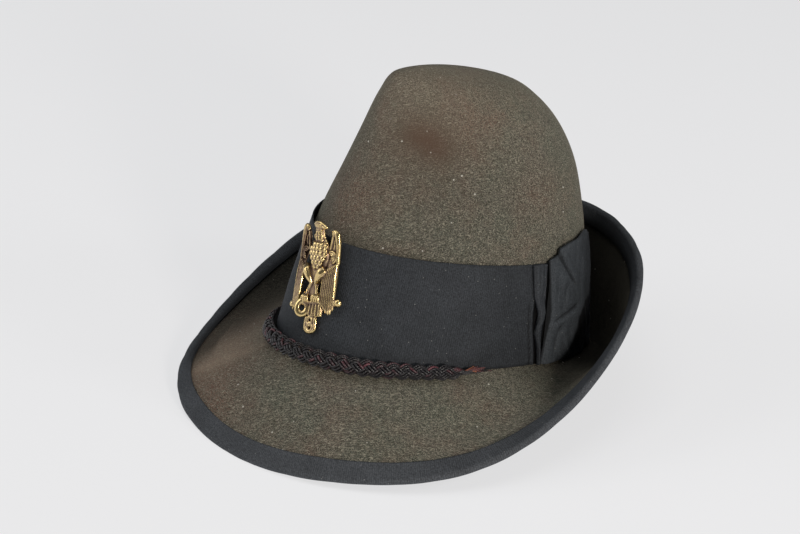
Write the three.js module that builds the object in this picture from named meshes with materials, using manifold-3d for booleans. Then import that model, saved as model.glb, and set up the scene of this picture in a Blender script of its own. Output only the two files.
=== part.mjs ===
// An alpine cap: a tall felt crown pinched at the front, a brim worn down at the front and turned up at the
// back, a wide ribbon band with a flat bow, a ribbon binding on the brim's edge, a plaited cord along the front
// of the band, and a cast badge sewn to it.
// Millimetres, +Z up, +X the wearer's left, -Y the front. The hat rests on z = 0 on the front of its brim and
// on the fold at the back. An angle goes round the hat from the front, 0, over the wearer's left, 90.

import * as THREE from 'three';
import Module from 'manifold-3d';
import { mergeVertices } from 'three/addons/utils/BufferGeometryUtils.js';

// Driving dimensions

const gap = 0.3; // between pieces that meet
const layGap = 0.9; // under what lies on the band's curve
const felt = { thickness: 2.2, steps: 54 };

// The head opening: its middle, and the backward lean of the crown.
const head = { y: 17.5, z: 32.2, lean: 10, saddle: 1.9 };

// The crown, section by section from the band's lower edge up: the height along the leaning axis, where the
// section's front and back lie, its half width, and the share of that width pinched away at the front.
const crownSections = [
  { rise: 0, front: -102.5, back: 102.5, half: 91.5, pinch: 0.14 },
  { rise: 31, front: -93, back: 94, half: 92, pinch: 0.19 },
  { rise: 62, front: -83, back: 87.6, half: 89, pinch: 0.24 },
  { rise: 88, front: -75, back: 82.6, half: 82.8, pinch: 0.28 },
  { rise: 113, front: -67, back: 76, half: 73, pinch: 0.31 },
  { rise: 133, front: -60.5, back: 65, half: 61, pinch: 0.33 },
  { rise: 147, front: -57, back: 49.6, half: 48, pinch: 0.34 },
  { rise: 157, front: -53.7, back: 30.3, half: 34, pinch: 0.34 },
];
const crownTop = { rise: 164, y: -32.5 };
const bandRow = 2; // the section at the band's upper edge

// Finger dents beside the front ridge.
const dent = { angle: 52, row: 4.1, depth: 3, spread: 20, rows: 1.1 };

// The brim, by angle: how far the edge stands out from the break, its height, and the brim's slope in degrees
// at the break and at the edge. Both sides are alike.
const brimSections = [
  { angle: 0, reach: 58.8, height: 1.6, inner: -32, outer: -44 },
  { angle: 30, reach: 62.6, height: 6.4, inner: -30, outer: -36 },
  { angle: 60, reach: 62, height: 13.8, inner: -27, outer: -8 },
  { angle: 90, reach: 52.8, height: 41, inner: -18, outer: 42 },
  { angle: 120, reach: 36.5, height: 75, inner: -25, outer: 74 },
  { angle: 150, reach: 21.5, height: 82, inner: -64, outer: 86 },
  { angle: 180, reach: 22, height: 78, inner: -88, outer: 88 },
];
const breakOut = 1; // the break lies this far outside the crown's foot,
const breakDrop = 1.5; // and this far below it
const breakRound = 5; // length of brim taken up by the rounded break
const brimBow = 0.54; // handle length of the brim's curve, as a share of its chord

const band = { thickness: 1, rows: 4, slack: 0.3 };

// Across the front the band's upper edge stands off the felt, and beyond the ridge it also rides up.
const gape = { out: 5, angle: 5, spread: 45 };
const rideUp = { rows: 0.12, angle: -60, spread: 40 };

const knot = { from: 93, to: 99.5, slant: -2.8, thickness: 1.6, crown: 0.8 };
const bow = { from: 100.3, to: 146, slant: -2.8, thickness: 1.6, swell: 0.9, folds: 2.5 };
const binding = { width: 12, thickness: 0.9 };
const braid = { radius: 4.8, end: 75, taper: 12, tip: 1.4 };

// The badge, in its own flat measures: across from the middle, up from its foot, and out from the band. It is
// sewn on a little askew, bent to a radius, its head leaning off the band.
const badge = { angle: -0.7, foot: 8, height: 62, edge: 1, turn: 10, bend: 90, lean: 2.5 };
const badgeBody = [
  { up: 14, left: -5, right: 5, out: 1.6 },
  { up: 19, left: -7, right: 7, out: 2 },
  { up: 26, left: -7.5, right: 7.5, out: 2.8 },
  { up: 32, left: -8, right: 8, out: 3.8 },
  { up: 40, left: -7.5, right: 7.5, out: 4 },
  { up: 47, left: -6.5, right: 6.5, out: 3.8 },
  { up: 51.5, left: -4.8, right: 4.8, out: 3.2 },
  { up: 55, left: -3.8, right: 3.8, out: 3.2 },
  { up: 59, left: -3.5, right: 5.5, out: 3.2 },
  { up: 62, left: -2, right: 3, out: 1.6 },
];
const badgeWing = [
  { up: 10, left: 13.5, right: 16, out: 1.2 },
  { up: 15, left: 9.5, right: 17.5, out: 1.6 },
  { up: 25, left: 7, right: 17.5, out: 2 },
  { up: 36, left: 6, right: 17, out: 2.2 },
  { up: 45, left: 5.5, right: 16.5, out: 2.4 },
  { up: 51.5, left: 8.5, right: 16, out: 2.4 },
  { up: 56, left: 11, right: 15, out: 2 },
  { up: 59.5, left: 12.2, right: 14.2, out: 1.2 },
];
const badgeFoot = [
  { up: 0, left: -2.5, right: 2.5, out: 1.4 },
  { up: 4, left: -3.5, right: 3.5, out: 1.6 },
  { up: 7.5, left: -3.5, right: 3.5, out: 1.6 },
  { up: 8.5, left: -7, right: 7, out: 2 },
  { up: 14.5, left: -7, right: 7, out: 2 },
  { up: 16, left: -5, right: 5, out: 1.6 },
];
const perch = { up: 17, radius: 1.6, out: 1.8, left: -12, right: 18, knob: 2.2 };

// Looks

const feltCloth = new THREE.MeshStandardMaterial({ color: 0x4b4837, roughness: 0.95, metalness: 0 });
const ribbon = new THREE.MeshStandardMaterial({ color: 0x26272b, roughness: 0.8, metalness: 0 });
const cordThread = new THREE.MeshStandardMaterial({ color: 0x241d1c, roughness: 0.7, metalness: 0 });
const brass = new THREE.MeshStandardMaterial({ color: 0x8a7340, roughness: 0.4, metalness: 1 });

// Curves

const rad = THREE.MathUtils.degToRad;

function bell(distance, spread) {
  return Math.exp(-((distance / spread) ** 2));
}

// A smooth curve through four neighbouring values, between the middle two.
function between(a, b, c, d, t) {
  const slopes = (c - a) * t + (2 * a - 5 * b + 4 * c - d) * t * t + (3 * b - a - 3 * c + d) * t ** 3;
  return b + slopes / 2;
}

// A column of the brim's table at any angle, even about the front and the back.
function brimAt(column, angle) {
  const step = brimSections[1].angle;
  const turned = Math.abs(THREE.MathUtils.euclideanModulo(angle + 180, 360) - 180);
  const index = Math.min(Math.floor(turned / step), brimSections.length - 2);
  const last = brimSections.length - 1;
  const row = (i) => brimSections[i < 0 ? -i : i > last ? 2 * last - i : i][column];
  return between(row(index - 1), row(index), row(index + 1), row(index + 2), turned / step - index);
}

// From the leaning crown's own measures to the hat's.
function leaned(x, y, rise) {
  const lean = rad(head.lean);
  const along = y * Math.cos(lean) + rise * Math.sin(lean);
  const height = rise * Math.cos(lean) - y * Math.sin(lean);
  return new THREE.Vector3(x, head.y + along, head.z + height);
}

// A point of one section of the crown. Sections past the top are those of the opposite side.
function sectionPoint(index, angle) {
  const top = crownSections.length;
  if (index === top) return leaned(0, crownTop.y, crownTop.rise);
  if (index > top) return sectionPoint(2 * top - index, angle + 180);
  const { rise, front, back, half, pinch } = crownSections[index];
  const turn = rad(angle);
  const x = half * Math.sin(turn) * (1 - (pinch * (1 + Math.cos(turn))) / 2);
  const y = (front + back) / 2 - ((back - front) / 2) * Math.cos(turn);
  const dip = index === 0 ? -head.saddle * Math.cos(2 * turn) : 0;
  return leaned(x, y, rise + dip);
}

// The crown's outside by angle and row, a row being a section's number or lying between two.
function crownPoint(angle, row) {
  const index = Math.floor(row);
  const b = sectionPoint(index, angle);
  const c = sectionPoint(index + 1, angle);
  const a = index > 0 ? sectionPoint(index - 1, angle) : b.clone().multiplyScalar(2).sub(c);
  const d = sectionPoint(index + 2, angle);
  const t = row - index;
  const axis = (key) => between(a[key], b[key], c[key], d[key], t);
  const point = new THREE.Vector3(axis('x'), axis('y'), axis('z'));
  const turned = THREE.MathUtils.euclideanModulo(angle + 180, 360) - 180;
  const press = bell(Math.abs(turned) - dent.angle, dent.spread) * bell(row - dent.row, dent.rows);
  point.x -= Math.sign(turned) * dent.depth * press;
  return point;
}

function crownNormal(angle, row) {
  const around = crownPoint(angle + 1, row).sub(crownPoint(angle - 1, row));
  const up = crownPoint(angle, row + 0.1).sub(crownPoint(angle, Math.max(row - 0.1, 0)));
  return around.cross(up).normalize();
}

// The level direction in which the brim leaves the crown, square to the crown's foot.
function brimDirection(angle) {
  const along = sectionPoint(0, angle + 1).sub(sectionPoint(0, angle - 1));
  return new THREE.Vector3(along.y, -along.x, 0).normalize();
}

// The break between crown and brim.
function breakPoint(angle) {
  const point = sectionPoint(0, angle).addScaledVector(brimDirection(angle), breakOut);
  point.z -= breakDrop;
  return point;
}

// The brim's run from break to edge at one angle, as a curve in an upright plane.
function brimCurve(angle) {
  const start = breakPoint(angle);
  const out = brimDirection(angle);
  const reach = brimAt('reach', angle);
  const rise = brimAt('height', angle) - start.z;
  const handle = brimBow * Math.hypot(reach, rise);
  const inner = rad(brimAt('inner', angle));
  const outer = rad(brimAt('outer', angle));
  const place = (r, h) => start.clone().addScaledVector(out, r).add(new THREE.Vector3(0, 0, h));
  return new THREE.CubicBezierCurve3(
    start,
    place(handle * Math.cos(inner), handle * Math.sin(inner)),
    place(reach - handle * Math.cos(outer), rise - handle * Math.sin(outer)),
    place(reach, rise),
  );
}

// Solids

function meshFrom(name, material, geometry) {
  geometry.computeVertexNormals();
  const mesh = new THREE.Mesh(geometry, material);
  mesh.name = name;
  return mesh;
}

// Triangles with shared points, turned so that the solid's volume is positive.
function closedGeometry(points, triangles) {
  let volume = 0;
  for (const [a, b, c] of triangles) {
    volume += points[a].dot(points[b].clone().cross(points[c]));
  }
  const faces = volume > 0 ? triangles : triangles.map(([a, b, c]) => [a, c, b]);
  const geometry = new THREE.BufferGeometry().setFromPoints(points);
  geometry.setIndex(faces.flat());
  return geometry;
}

// Two triangles for each cell of a net of points, numbered by at(i, j). Rows of cells for which crossed(j) is
// true are split along their other diagonal.
function netTriangles(columns, rows, at, crossed = () => false) {
  const triangles = [];
  for (let i = 0; i < columns; i += 1) {
    for (let j = 0; j < rows; j += 1) {
      const [a, b, c, d] = [at(i, j), at(i + 1, j), at(i + 1, j + 1), at(i, j + 1)];
      if (crossed(j)) triangles.push([a, b, d], [b, c, d]);
      else triangles.push([a, b, c], [a, c, d]);
    }
  }
  return triangles;
}

// A ring: one closed outline for each angle.
function ringGeometry(outlines, crossed) {
  const count = outlines.length;
  const sides = outlines[0].length;
  const at = (i, j) => (i % count) * sides + (j % sides);
  return closedGeometry(outlines.flat(), netTriangles(count, sides, at, crossed));
}

// A bar: one closed outline for each station, with flat ends.
function barGeometry(outlines) {
  const last = outlines.length - 1;
  const sides = outlines[0].length;
  const at = (i, j) => i * sides + (j % sides);
  const triangles = netTriangles(last, sides, at);
  for (let j = 1; j < sides - 1; j += 1) {
    triangles.push([at(0, 0), at(0, j), at(0, j + 1)]);
    triangles.push([at(last, 0), at(last, j + 1), at(last, j)]);
  }
  return closedGeometry(outlines.flat(), triangles);
}

// Felt body

// Rows of the felt from the crown's top to the brim's edge. The last three lie under the binding.
const crownRows = [7.5, 7, 6.5, 6, 5.5, 5, 4, 3, 2, 1.5, 1, 0.5, 0];
const brimShares = [0, 0.06, 0.11, 0.2, 0.34, 0.6, 1];
const bindingRows = [0.5, 1];
const roundedShares = [0.35, 0.7];

function brimPoints(angle) {
  const curve = brimCurve(angle);
  const length = curve.getLength();
  const free = length - binding.width - breakRound;
  const distances = brimShares.map((share) => breakRound + share * free);
  for (const share of bindingRows) distances.push(length - binding.width * (1 - share));
  return distances.map((distance) => curve.getPointAt(distance / length));
}

function feltColumn(angle) {
  const crown = crownRows.map((row) => crownPoint(angle, row));
  const brim = brimPoints(angle);
  const rounding = new THREE.QuadraticBezierCurve3(crown.at(-1), breakPoint(angle), brim[0]);
  const rounded = roundedShares.map((share) => rounding.getPoint(share));
  return [...crown, ...rounded, ...brim];
}

const angles = Array.from({ length: felt.steps }, (_, i) => (i * 360) / felt.steps);
const outside = angles.map(feltColumn);
const feltRows = outside[0].length;
const firstBound = feltRows - 1 - bindingRows.length;
const crownTip = leaned(0, crownTop.y, crownTop.rise);

// The outward direction at each point of the felt, square to its neighbours' lines.
const outward = outside.map((column, i) => {
  const next = outside[(i + 1) % felt.steps];
  const previous = outside[(i + felt.steps - 1) % felt.steps];
  return column.map((point, j) => {
    const around = next[j].clone().sub(previous[j]);
    const above = j > 0 ? column[j - 1] : crownTip;
    const below = column[Math.min(j + 1, feltRows - 1)];
    return around.cross(above.clone().sub(below)).normalize();
  });
});

// What rests is flattened: no layer lies lower than the layers beneath it allow.
function layer(i, j, offset, floor) {
  const point = outside[i][j].clone().addScaledVector(outward[i][j], offset);
  point.z = Math.max(point.z, floor);
  return point;
}

function feltBody() {
  const under = binding.thickness + gap;
  const points = [];
  for (const depth of [0, felt.thickness]) {
    for (let i = 0; i < felt.steps; i += 1) {
      for (let j = 0; j < feltRows; j += 1) {
        const floor = (j >= firstBound ? under : 0) + felt.thickness - depth;
        points.push(layer(i, j, -depth, floor));
      }
    }
  }
  const skin = felt.steps * feltRows;
  const outer = (i, j) => (i % felt.steps) * feltRows + j;
  const inner = (i, j) => skin + outer(i, j);
  const tipOut = points.push(crownTip.clone()) - 1;
  const tipIn = points.push(crownTip.clone().setZ(crownTip.z - felt.thickness)) - 1;
  const turned = ([a, b, c]) => [a, c, b];
  const triangles = netTriangles(felt.steps, feltRows - 1, outer);
  triangles.push(...netTriangles(felt.steps, feltRows - 1, inner).map(turned));
  const edge = feltRows - 1;
  for (let i = 0; i < felt.steps; i += 1) {
    triangles.push([tipOut, outer(i + 1, 0), outer(i, 0)]);
    triangles.push([tipIn, inner(i, 0), inner(i + 1, 0)]);
    triangles.push([outer(i, edge), outer(i + 1, edge), inner(i + 1, edge)]);
    triangles.push([outer(i, edge), inner(i + 1, edge), inner(i, edge)]);
  }
  return meshFrom('felt_body', feltCloth, closedGeometry(points, triangles));
}

// Band and bow

// A point over the band, by angle and by height as a share of the band's own.
function overBand(angle, height, offset) {
  const turned = THREE.MathUtils.euclideanModulo(angle + 180, 360) - 180;
  const slack = band.slack + gape.out * bell(turned - gape.angle, gape.spread);
  const ride = rideUp.rows * bell(turned - rideUp.angle, rideUp.spread);
  const row = bandRow * height + ride * height * height;
  const stand = gap + slack * height * height + band.thickness + offset;
  return crownPoint(angle, row).addScaledVector(crownNormal(angle, row), stand);
}

function hatBand() {
  const heights = Array.from({ length: band.rows + 1 }, (_, k) => k / band.rows);
  const outlines = angles.map((angle) => {
    const face = heights.map((height) => overBand(angle, height, 0));
    const back = heights.map((height) => overBand(angle, height, -band.thickness));
    return [...face, ...back.reverse()];
  });
  return meshFrom('hat_band', ribbon, ringGeometry(outlines));
}

// A strip of ribbon laid on the band between two slanting edges, as thick as thickness(share) says.
function ribbonStrip(name, strip, columns, thickness) {
  const heights = Array.from({ length: band.rows + 1 }, (_, k) => k / band.rows);
  const outlines = Array.from({ length: columns + 1 }, (_, i) => {
    const share = i / columns;
    const angleAt = (height) => THREE.MathUtils.lerp(strip.from, strip.to, share) + strip.slant * height;
    const face = heights.map((height) => overBand(angleAt(height), height, layGap + thickness(share)));
    const back = heights.map((height) => overBand(angleAt(height), height, layGap));
    return [...face, ...back.reverse()];
  });
  return meshFrom(name, ribbon, barGeometry(outlines));
}

function bandKnot() {
  const thickness = (share) => knot.thickness + knot.crown * Math.sin(Math.PI * share);
  return ribbonStrip('band_knot', knot, 4, thickness);
}

function bandBow() {
  const thickness = (share) => bow.thickness + bow.swell * Math.sin(Math.PI * bow.folds * share) ** 2;
  return ribbonStrip('band_bow', bow, 14, thickness);
}

// Binding

function edgeBinding() {
  const last = feltRows - 1;
  const rows = [firstBound, firstBound + 1, last];
  const wall = binding.thickness;
  const inner = gap;
  const outer = gap + wall;
  const back = felt.thickness;
  const outlines = angles.map((_, i) => {
    const rim = outside[i][last].clone().sub(outside[i][last - 1]).normalize();
    const past = (point, distance) => point.addScaledVector(rim, distance);
    const upper = rows.map((j) => layer(i, j, outer, 2 * outer + back));
    const lower = rows.map((j) => layer(i, j, -back - outer, 0));
    const upperLining = rows.map((j) => layer(i, j, inner, outer + back + inner));
    const lowerLining = rows.map((j) => layer(i, j, -back - inner, wall));
    const crest = past(layer(i, last, inner, outer + back + inner), outer);
    const heel = past(layer(i, last, -back - inner, 0), outer);
    past(upperLining[2], inner);
    past(lowerLining[2], inner);
    return [...upper, crest, heel, ...lower.reverse(), ...lowerLining, ...upperLining.reverse()];
  });
  for (const point of outlines.flat()) point.z = Math.max(point.z, 0);
  // The fold over the felt's upper side is split as the felt is.
  const crossed = (j) => j > outlines[0].length - 1 - rows.length;
  return meshFrom('edge_binding', ribbon, ringGeometry(outlines, crossed));
}

// Braid

function plaitedCord() {
  const sides = 8;
  const stations = 40;
  const outlines = Array.from({ length: stations + 1 }, (_, i) => {
    const angle = THREE.MathUtils.lerp(-braid.end, braid.end, i / stations);
    const toEnd = (braid.end - Math.abs(angle)) / braid.taper;
    const radius = THREE.MathUtils.lerp(braid.tip, braid.radius, THREE.MathUtils.smoothstep(toEnd, 0, 1));
    const out = brimDirection(angle);
    const clear = radius + 3 * gap;
    const slope = rad(brimAt('inner', angle));
    const middle = breakPoint(angle).addScaledVector(out, clear);
    middle.z += clear * Math.tan(slope) + clear / Math.cos(slope);
    return Array.from({ length: sides }, (_, k) => {
      const turn = (2 * Math.PI * k) / sides;
      const point = middle.clone().addScaledVector(out, radius * Math.cos(turn));
      point.z += radius * Math.sin(turn);
      return point;
    });
  });
  return meshFrom('braid', cordThread, barGeometry(outlines));
}

// Badge

const wasm = await Module();
wasm.setup();

function solidOf(geometry) {
  const bare = geometry.clone();
  bare.deleteAttribute('normal');
  bare.deleteAttribute('uv');
  const merged = mergeVertices(bare, 1e-4);
  const vertProperties = new Float32Array(merged.attributes.position.array);
  const triVerts = new Uint32Array(merged.index.array);
  return new wasm.Manifold(new wasm.Mesh({ numProp: 3, vertProperties, triVerts }));
}

// A cushion-like relief on a flat back, row by row up the badge.
function reliefGeometry(rows) {
  const across = 4;
  const outlines = rows.map(({ up, left, right, out }) => {
    const shares = Array.from({ length: across + 1 }, (_, k) => k / across);
    const x = (share) => THREE.MathUtils.lerp(left, right, share);
    const swell = (share) => badge.edge + (out - badge.edge) * Math.sin(Math.PI * share) ** 0.6;
    const face = shares.map((share) => new THREE.Vector3(x(share), up, swell(share)));
    const back = shares.map((share) => new THREE.Vector3(x(share), up, 0));
    return [...face, ...back.reverse()];
  });
  return barGeometry(outlines);
}

function mirrored(rows) {
  return rows.map((row) => ({ ...row, left: -row.right, right: -row.left }));
}

// From the badge's flat measures to its place on the band.
function onBand(flat) {
  const middle = badge.height / 2;
  const askew = new THREE.Vector2(flat.x, flat.y - middle).rotateAround(new THREE.Vector2(), rad(badge.turn));
  const height = (badge.foot + middle + askew.y) / crownSections[bandRow].rise;
  const stand = layGap + badge.lean * (0.5 + askew.y / badge.height) ** 2;
  const spine = (turn) => overBand(badge.angle + turn, height, stand);
  const along = spine(1).sub(spine(-1)).normalize();
  const out = crownNormal(badge.angle, bandRow * height);
  return spine(0).addScaledVector(along, askew.x).addScaledVector(out, flat.z - askew.x ** 2 / (2 * badge.bend));
}

function eagleBadge() {
  const reliefs = [badgeBody, badgeWing, mirrored(badgeWing), badgeFoot];
  const solids = reliefs.map((rows) => solidOf(reliefGeometry(rows)));
  const bar = new THREE.CylinderGeometry(perch.radius, perch.radius, perch.right - perch.left, 10, 6);
  bar.rotateZ(Math.PI / 2).translate((perch.left + perch.right) / 2, perch.up, perch.out);
  const knob = new THREE.SphereGeometry(perch.knob, 10, 6);
  knob.translate(perch.right, perch.up, perch.knob + 0.1);
  solids.push(solidOf(bar), solidOf(knob));
  const joined = solids.reduce((whole, solid) => whole.add(solid)).getMesh();
  const points = [];
  for (let k = 0; k < joined.vertProperties.length; k += joined.numProp) {
    const flat = new THREE.Vector3().fromArray(joined.vertProperties, k);
    points.push(onBand(flat));
  }
  const triangles = [];
  for (let k = 0; k < joined.triVerts.length; k += 3) {
    triangles.push(Array.from(joined.triVerts.subarray(k, k + 3)));
  }
  return meshFrom('eagle_badge', brass, closedGeometry(points, triangles));
}

const hat = new THREE.Group();
hat.add(feltBody(), hatBand(), bandKnot(), bandBow(), edgeBinding(), plaitedCord(), eagleBadge());

export default hat;
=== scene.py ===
import bpy
import numpy as np
from mathutils import Matrix, Vector


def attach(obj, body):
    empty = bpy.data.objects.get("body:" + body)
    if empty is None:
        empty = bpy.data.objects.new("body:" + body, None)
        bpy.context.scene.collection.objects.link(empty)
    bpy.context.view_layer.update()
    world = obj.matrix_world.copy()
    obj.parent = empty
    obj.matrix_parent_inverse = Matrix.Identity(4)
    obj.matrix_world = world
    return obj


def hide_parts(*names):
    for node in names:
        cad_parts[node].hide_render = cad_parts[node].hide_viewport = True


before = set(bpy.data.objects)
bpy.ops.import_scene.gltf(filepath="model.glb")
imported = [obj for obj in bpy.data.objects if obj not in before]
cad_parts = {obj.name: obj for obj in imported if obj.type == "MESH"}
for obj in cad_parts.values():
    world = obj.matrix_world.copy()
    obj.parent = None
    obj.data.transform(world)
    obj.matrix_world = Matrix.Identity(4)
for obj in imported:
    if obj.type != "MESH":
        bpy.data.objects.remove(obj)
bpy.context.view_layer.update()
mm = 0.001  # shapes are worked out in millimetres, in the part's own frame
print("frame loaded", sorted(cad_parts))


# Curves and meshes

def bell(distance, spread):  # one in the middle, falling off both ways as a bell curve
    return np.exp(-((distance / spread) ** 2))


# A smooth step: 0 up to the start and 1 from a length on. A negative length makes it 1 below and 0 above.
def ramp(value, start, length):
    t = np.clip((value - start) / length, 0, 1)
    return t * t * (3 - 2 * t)


def turned(angle):  # degrees from the front, from -180 to 180
    return (angle + 180) % 360 - 180


def between(a, b, c, d, t):  # smooth curve through four values, from the second to the third
    return b + ((c - a) * t + (2 * a - 5 * b + 4 * c - d) * t**2 + (3 * b - a - 3 * c + d) * t**3) / 2


def unit(vectors):  # the same directions at length one
    return vectors / np.maximum(np.linalg.norm(vectors, axis=-1, keepdims=True), 1e-12)


# An uneven swell of about one up and down: a sum of sine waves that run every way, at uneven paces.
def ripple(u, v, seed, waves=7):
    draw = np.random.default_rng(seed)
    turn, phase = draw.uniform(0, 2 * np.pi, (2, waves))
    pace = draw.uniform(0.6, 1.6, waves)
    total = 0
    for k in range(waves):
        along = u * np.cos(turn[k]) + v * np.sin(turn[k])
        total = total + np.sin(2 * np.pi * pace[k] * along + phase[k])
    return total / np.sqrt(waves / 2) / 1.6


def runLength(path):  # distance along each path from its start
    steps = np.linalg.norm(np.diff(path, axis=-2), axis=-1)
    return np.concatenate([np.zeros(steps.shape[:-1] + (1,)), np.cumsum(steps, axis=-1)], axis=-1)


# A net is points on a grid of columns and rows; its faces join neighbours, and wrap where it is closed.
# uv gives each face corner its place across and along in millimetres.
def net(points, closedAcross=False, closedAlong=False, uAt=None, vAt=None, capRows=False, capColumns=False):
    columns, rows = points.shape[:2]
    across, along = np.arange(columns - 1 + closedAcross), np.arange(rows - 1 + closedAlong)
    i, j = np.meshgrid(across, along, indexing="ij")
    i, j = i.ravel()[:, None] + [0, 1, 1, 0], j.ravel()[:, None] + [0, 0, 1, 1]
    quads = (i % columns) * rows + j % rows
    uAt = np.arange(columns + 1.0) if uAt is None else uAt
    vAt = np.arange(rows + 1.0) if vAt is None else vAt
    caps = []
    if capRows:
        caps += [(np.arange(columns) * rows)[::-1], np.arange(columns) * rows + rows - 1]
    if capColumns:
        caps += [np.arange(rows), ((columns - 1) * rows + np.arange(rows))[::-1]]
    uv = np.stack([uAt[i], vAt[j]], -1)
    return dict(points=points.reshape(-1, 3), quads=quads, uv=uv, caps=caps)


# Many closed tubes: each path's section is an ellipse on the two given radius vectors, with flat ends.
def tubes(path, sideways, upward, sides):
    count, stations = path.shape[:2]
    turn = np.arange(sides) * 2 * np.pi / sides
    ring = sideways[:, :, None] * np.cos(turn)[:, None] + upward[:, :, None] * np.sin(turn)[:, None]
    points = path[:, :, None] + ring
    one = net(points[0], closedAlong=True, capColumns=True)
    shift = np.arange(count)[:, None, None] * stations * sides
    run = runLength(path)
    i = np.repeat(np.arange(stations - 1), sides)[:, None] + [0, 1, 1, 0]
    uv = np.stack(np.broadcast_arrays(run[:, i], one["uv"][None, :, :, 1] / sides), -1)
    caps = (np.array(one["caps"])[None] + shift).reshape(-1, sides)
    return dict(points=points.reshape(-1, 3), quads=(one["quads"][None] + shift).reshape(-1, 4),
                uv=uv.reshape(-1, 4, 2), caps=list(caps))


def joined(parts):  # several nets as one
    shifts = np.cumsum([0] + [len(p["points"]) for p in parts])
    caps = [cap + s for p, s in zip(parts, shifts) for cap in p["caps"]]
    return dict(points=np.concatenate([p["points"] for p in parts]),
                quads=np.concatenate([p["quads"] + s for p, s in zip(parts, shifts)]),
                uv=np.concatenate([p["uv"] for p in parts]), caps=caps)


# Turns a part's faces outwards, by the sign of its volume.
def outwards(part):
    p, q = part["points"], part["quads"]
    volume = sum(np.einsum("ij,ij", p[q[:, 0]], np.cross(p[q[:, a]], p[q[:, a + 1]])) for a in (1, 2))
    if volume < 0:
        caps = [cap[::-1] for cap in part["caps"]]
        part = dict(part, quads=q[:, ::-1], uv=part["uv"][:, ::-1], caps=caps)
    return part


def faceList(part):
    return part["quads"].tolist() + [cap.tolist() for cap in part["caps"]]


def linked(name, data):  # an object in the scene, at the origin
    made = bpy.data.objects.new(name, data)
    bpy.context.scene.collection.objects.link(made)
    return made


# A smooth-shaded piece from a part in millimetres, with its uv and the values painted on its points.
def makePiece(name, part, material, paint):
    mesh = bpy.data.meshes.new(name)
    faces = faceList(part)
    mesh.from_pydata(part["points"] * mm, [], faces)
    mesh.polygons.foreach_set("use_smooth", np.ones(len(faces), bool))
    flat = np.zeros((len(mesh.loops), 2))
    flat[:part["uv"].size // 2] = part["uv"].reshape(-1, 2)
    mesh.uv_layers.new(name="cloth").data.foreach_set("uv", flat.ravel())
    for key, values in paint.items():
        layer = mesh.attributes.new(key, "FLOAT", "POINT")
        layer.data.foreach_set("value", values.ravel().astype(np.float32))
    mesh.materials.append(material)
    mesh.update()
    print(name, len(mesh.vertices), "points", sum(len(face) - 2 for face in faces), "triangles")
    return linked(name, mesh)


# Materials

def srgb(text, alpha=1.0):  # hex colour to linear light
    c = np.array([int(text[k:k + 2], 16) for k in (1, 3, 5)]) / 255
    return (*np.where(c <= 0.04045, c / 12.92, ((c + 0.055) / 1.055) ** 2.4), alpha)


# Adds a node with its settings, its links and its fixed values. Of a MapRange, inputs 1 and 2 are the range
# that is read and 3 and 4 the range that is given; of a Mix, 0 is the share, and 6 and 7 are the colours.
def addNode(tree, kind, inputs=None, **settings):
    made = tree.nodes.new("ShaderNode" + kind)
    for key, value in settings.items():
        setattr(made, key, value)
    for key, value in (inputs or {}).items():
        if isinstance(value, bpy.types.NodeSocket):
            tree.links.new(value, made.inputs[key])
        else:
            made.inputs[key].default_value = value
    return made


def newMaterial(name):
    material = bpy.data.materials.new(name)
    material.use_nodes = True
    material.node_tree.nodes.clear()
    return material, material.node_tree


# Blocked wool felt: short matted fibres, so it is dull and grainy, with pale curly hairs and specks of dust.
# It is greener or browner from patch to patch, and it catches light at grazing angles.
feltLook = dict(
    dark="#32312a", grey="#5f5d55", green="#465146", brown="#6a4d42", pale="#aaa593",
    # the faded colour is partly painted light, and the darkest one is painted shade
    stain="#49352b", faded="#ab9884", paintedShade="#060605", dust="#d8d5cc", shine="#cfc8b4",
    grain=0.75, hairWide=0.42, hairLong=5.0, curl=3.2, patch=30.0, dustApart=11.0, relief=0.45,  # in mm
    mossy=0.8, handled=0.6, hairs=0.6, specks=0.8, sheen=0.2, rough=0.96,  # shares
)


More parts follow.
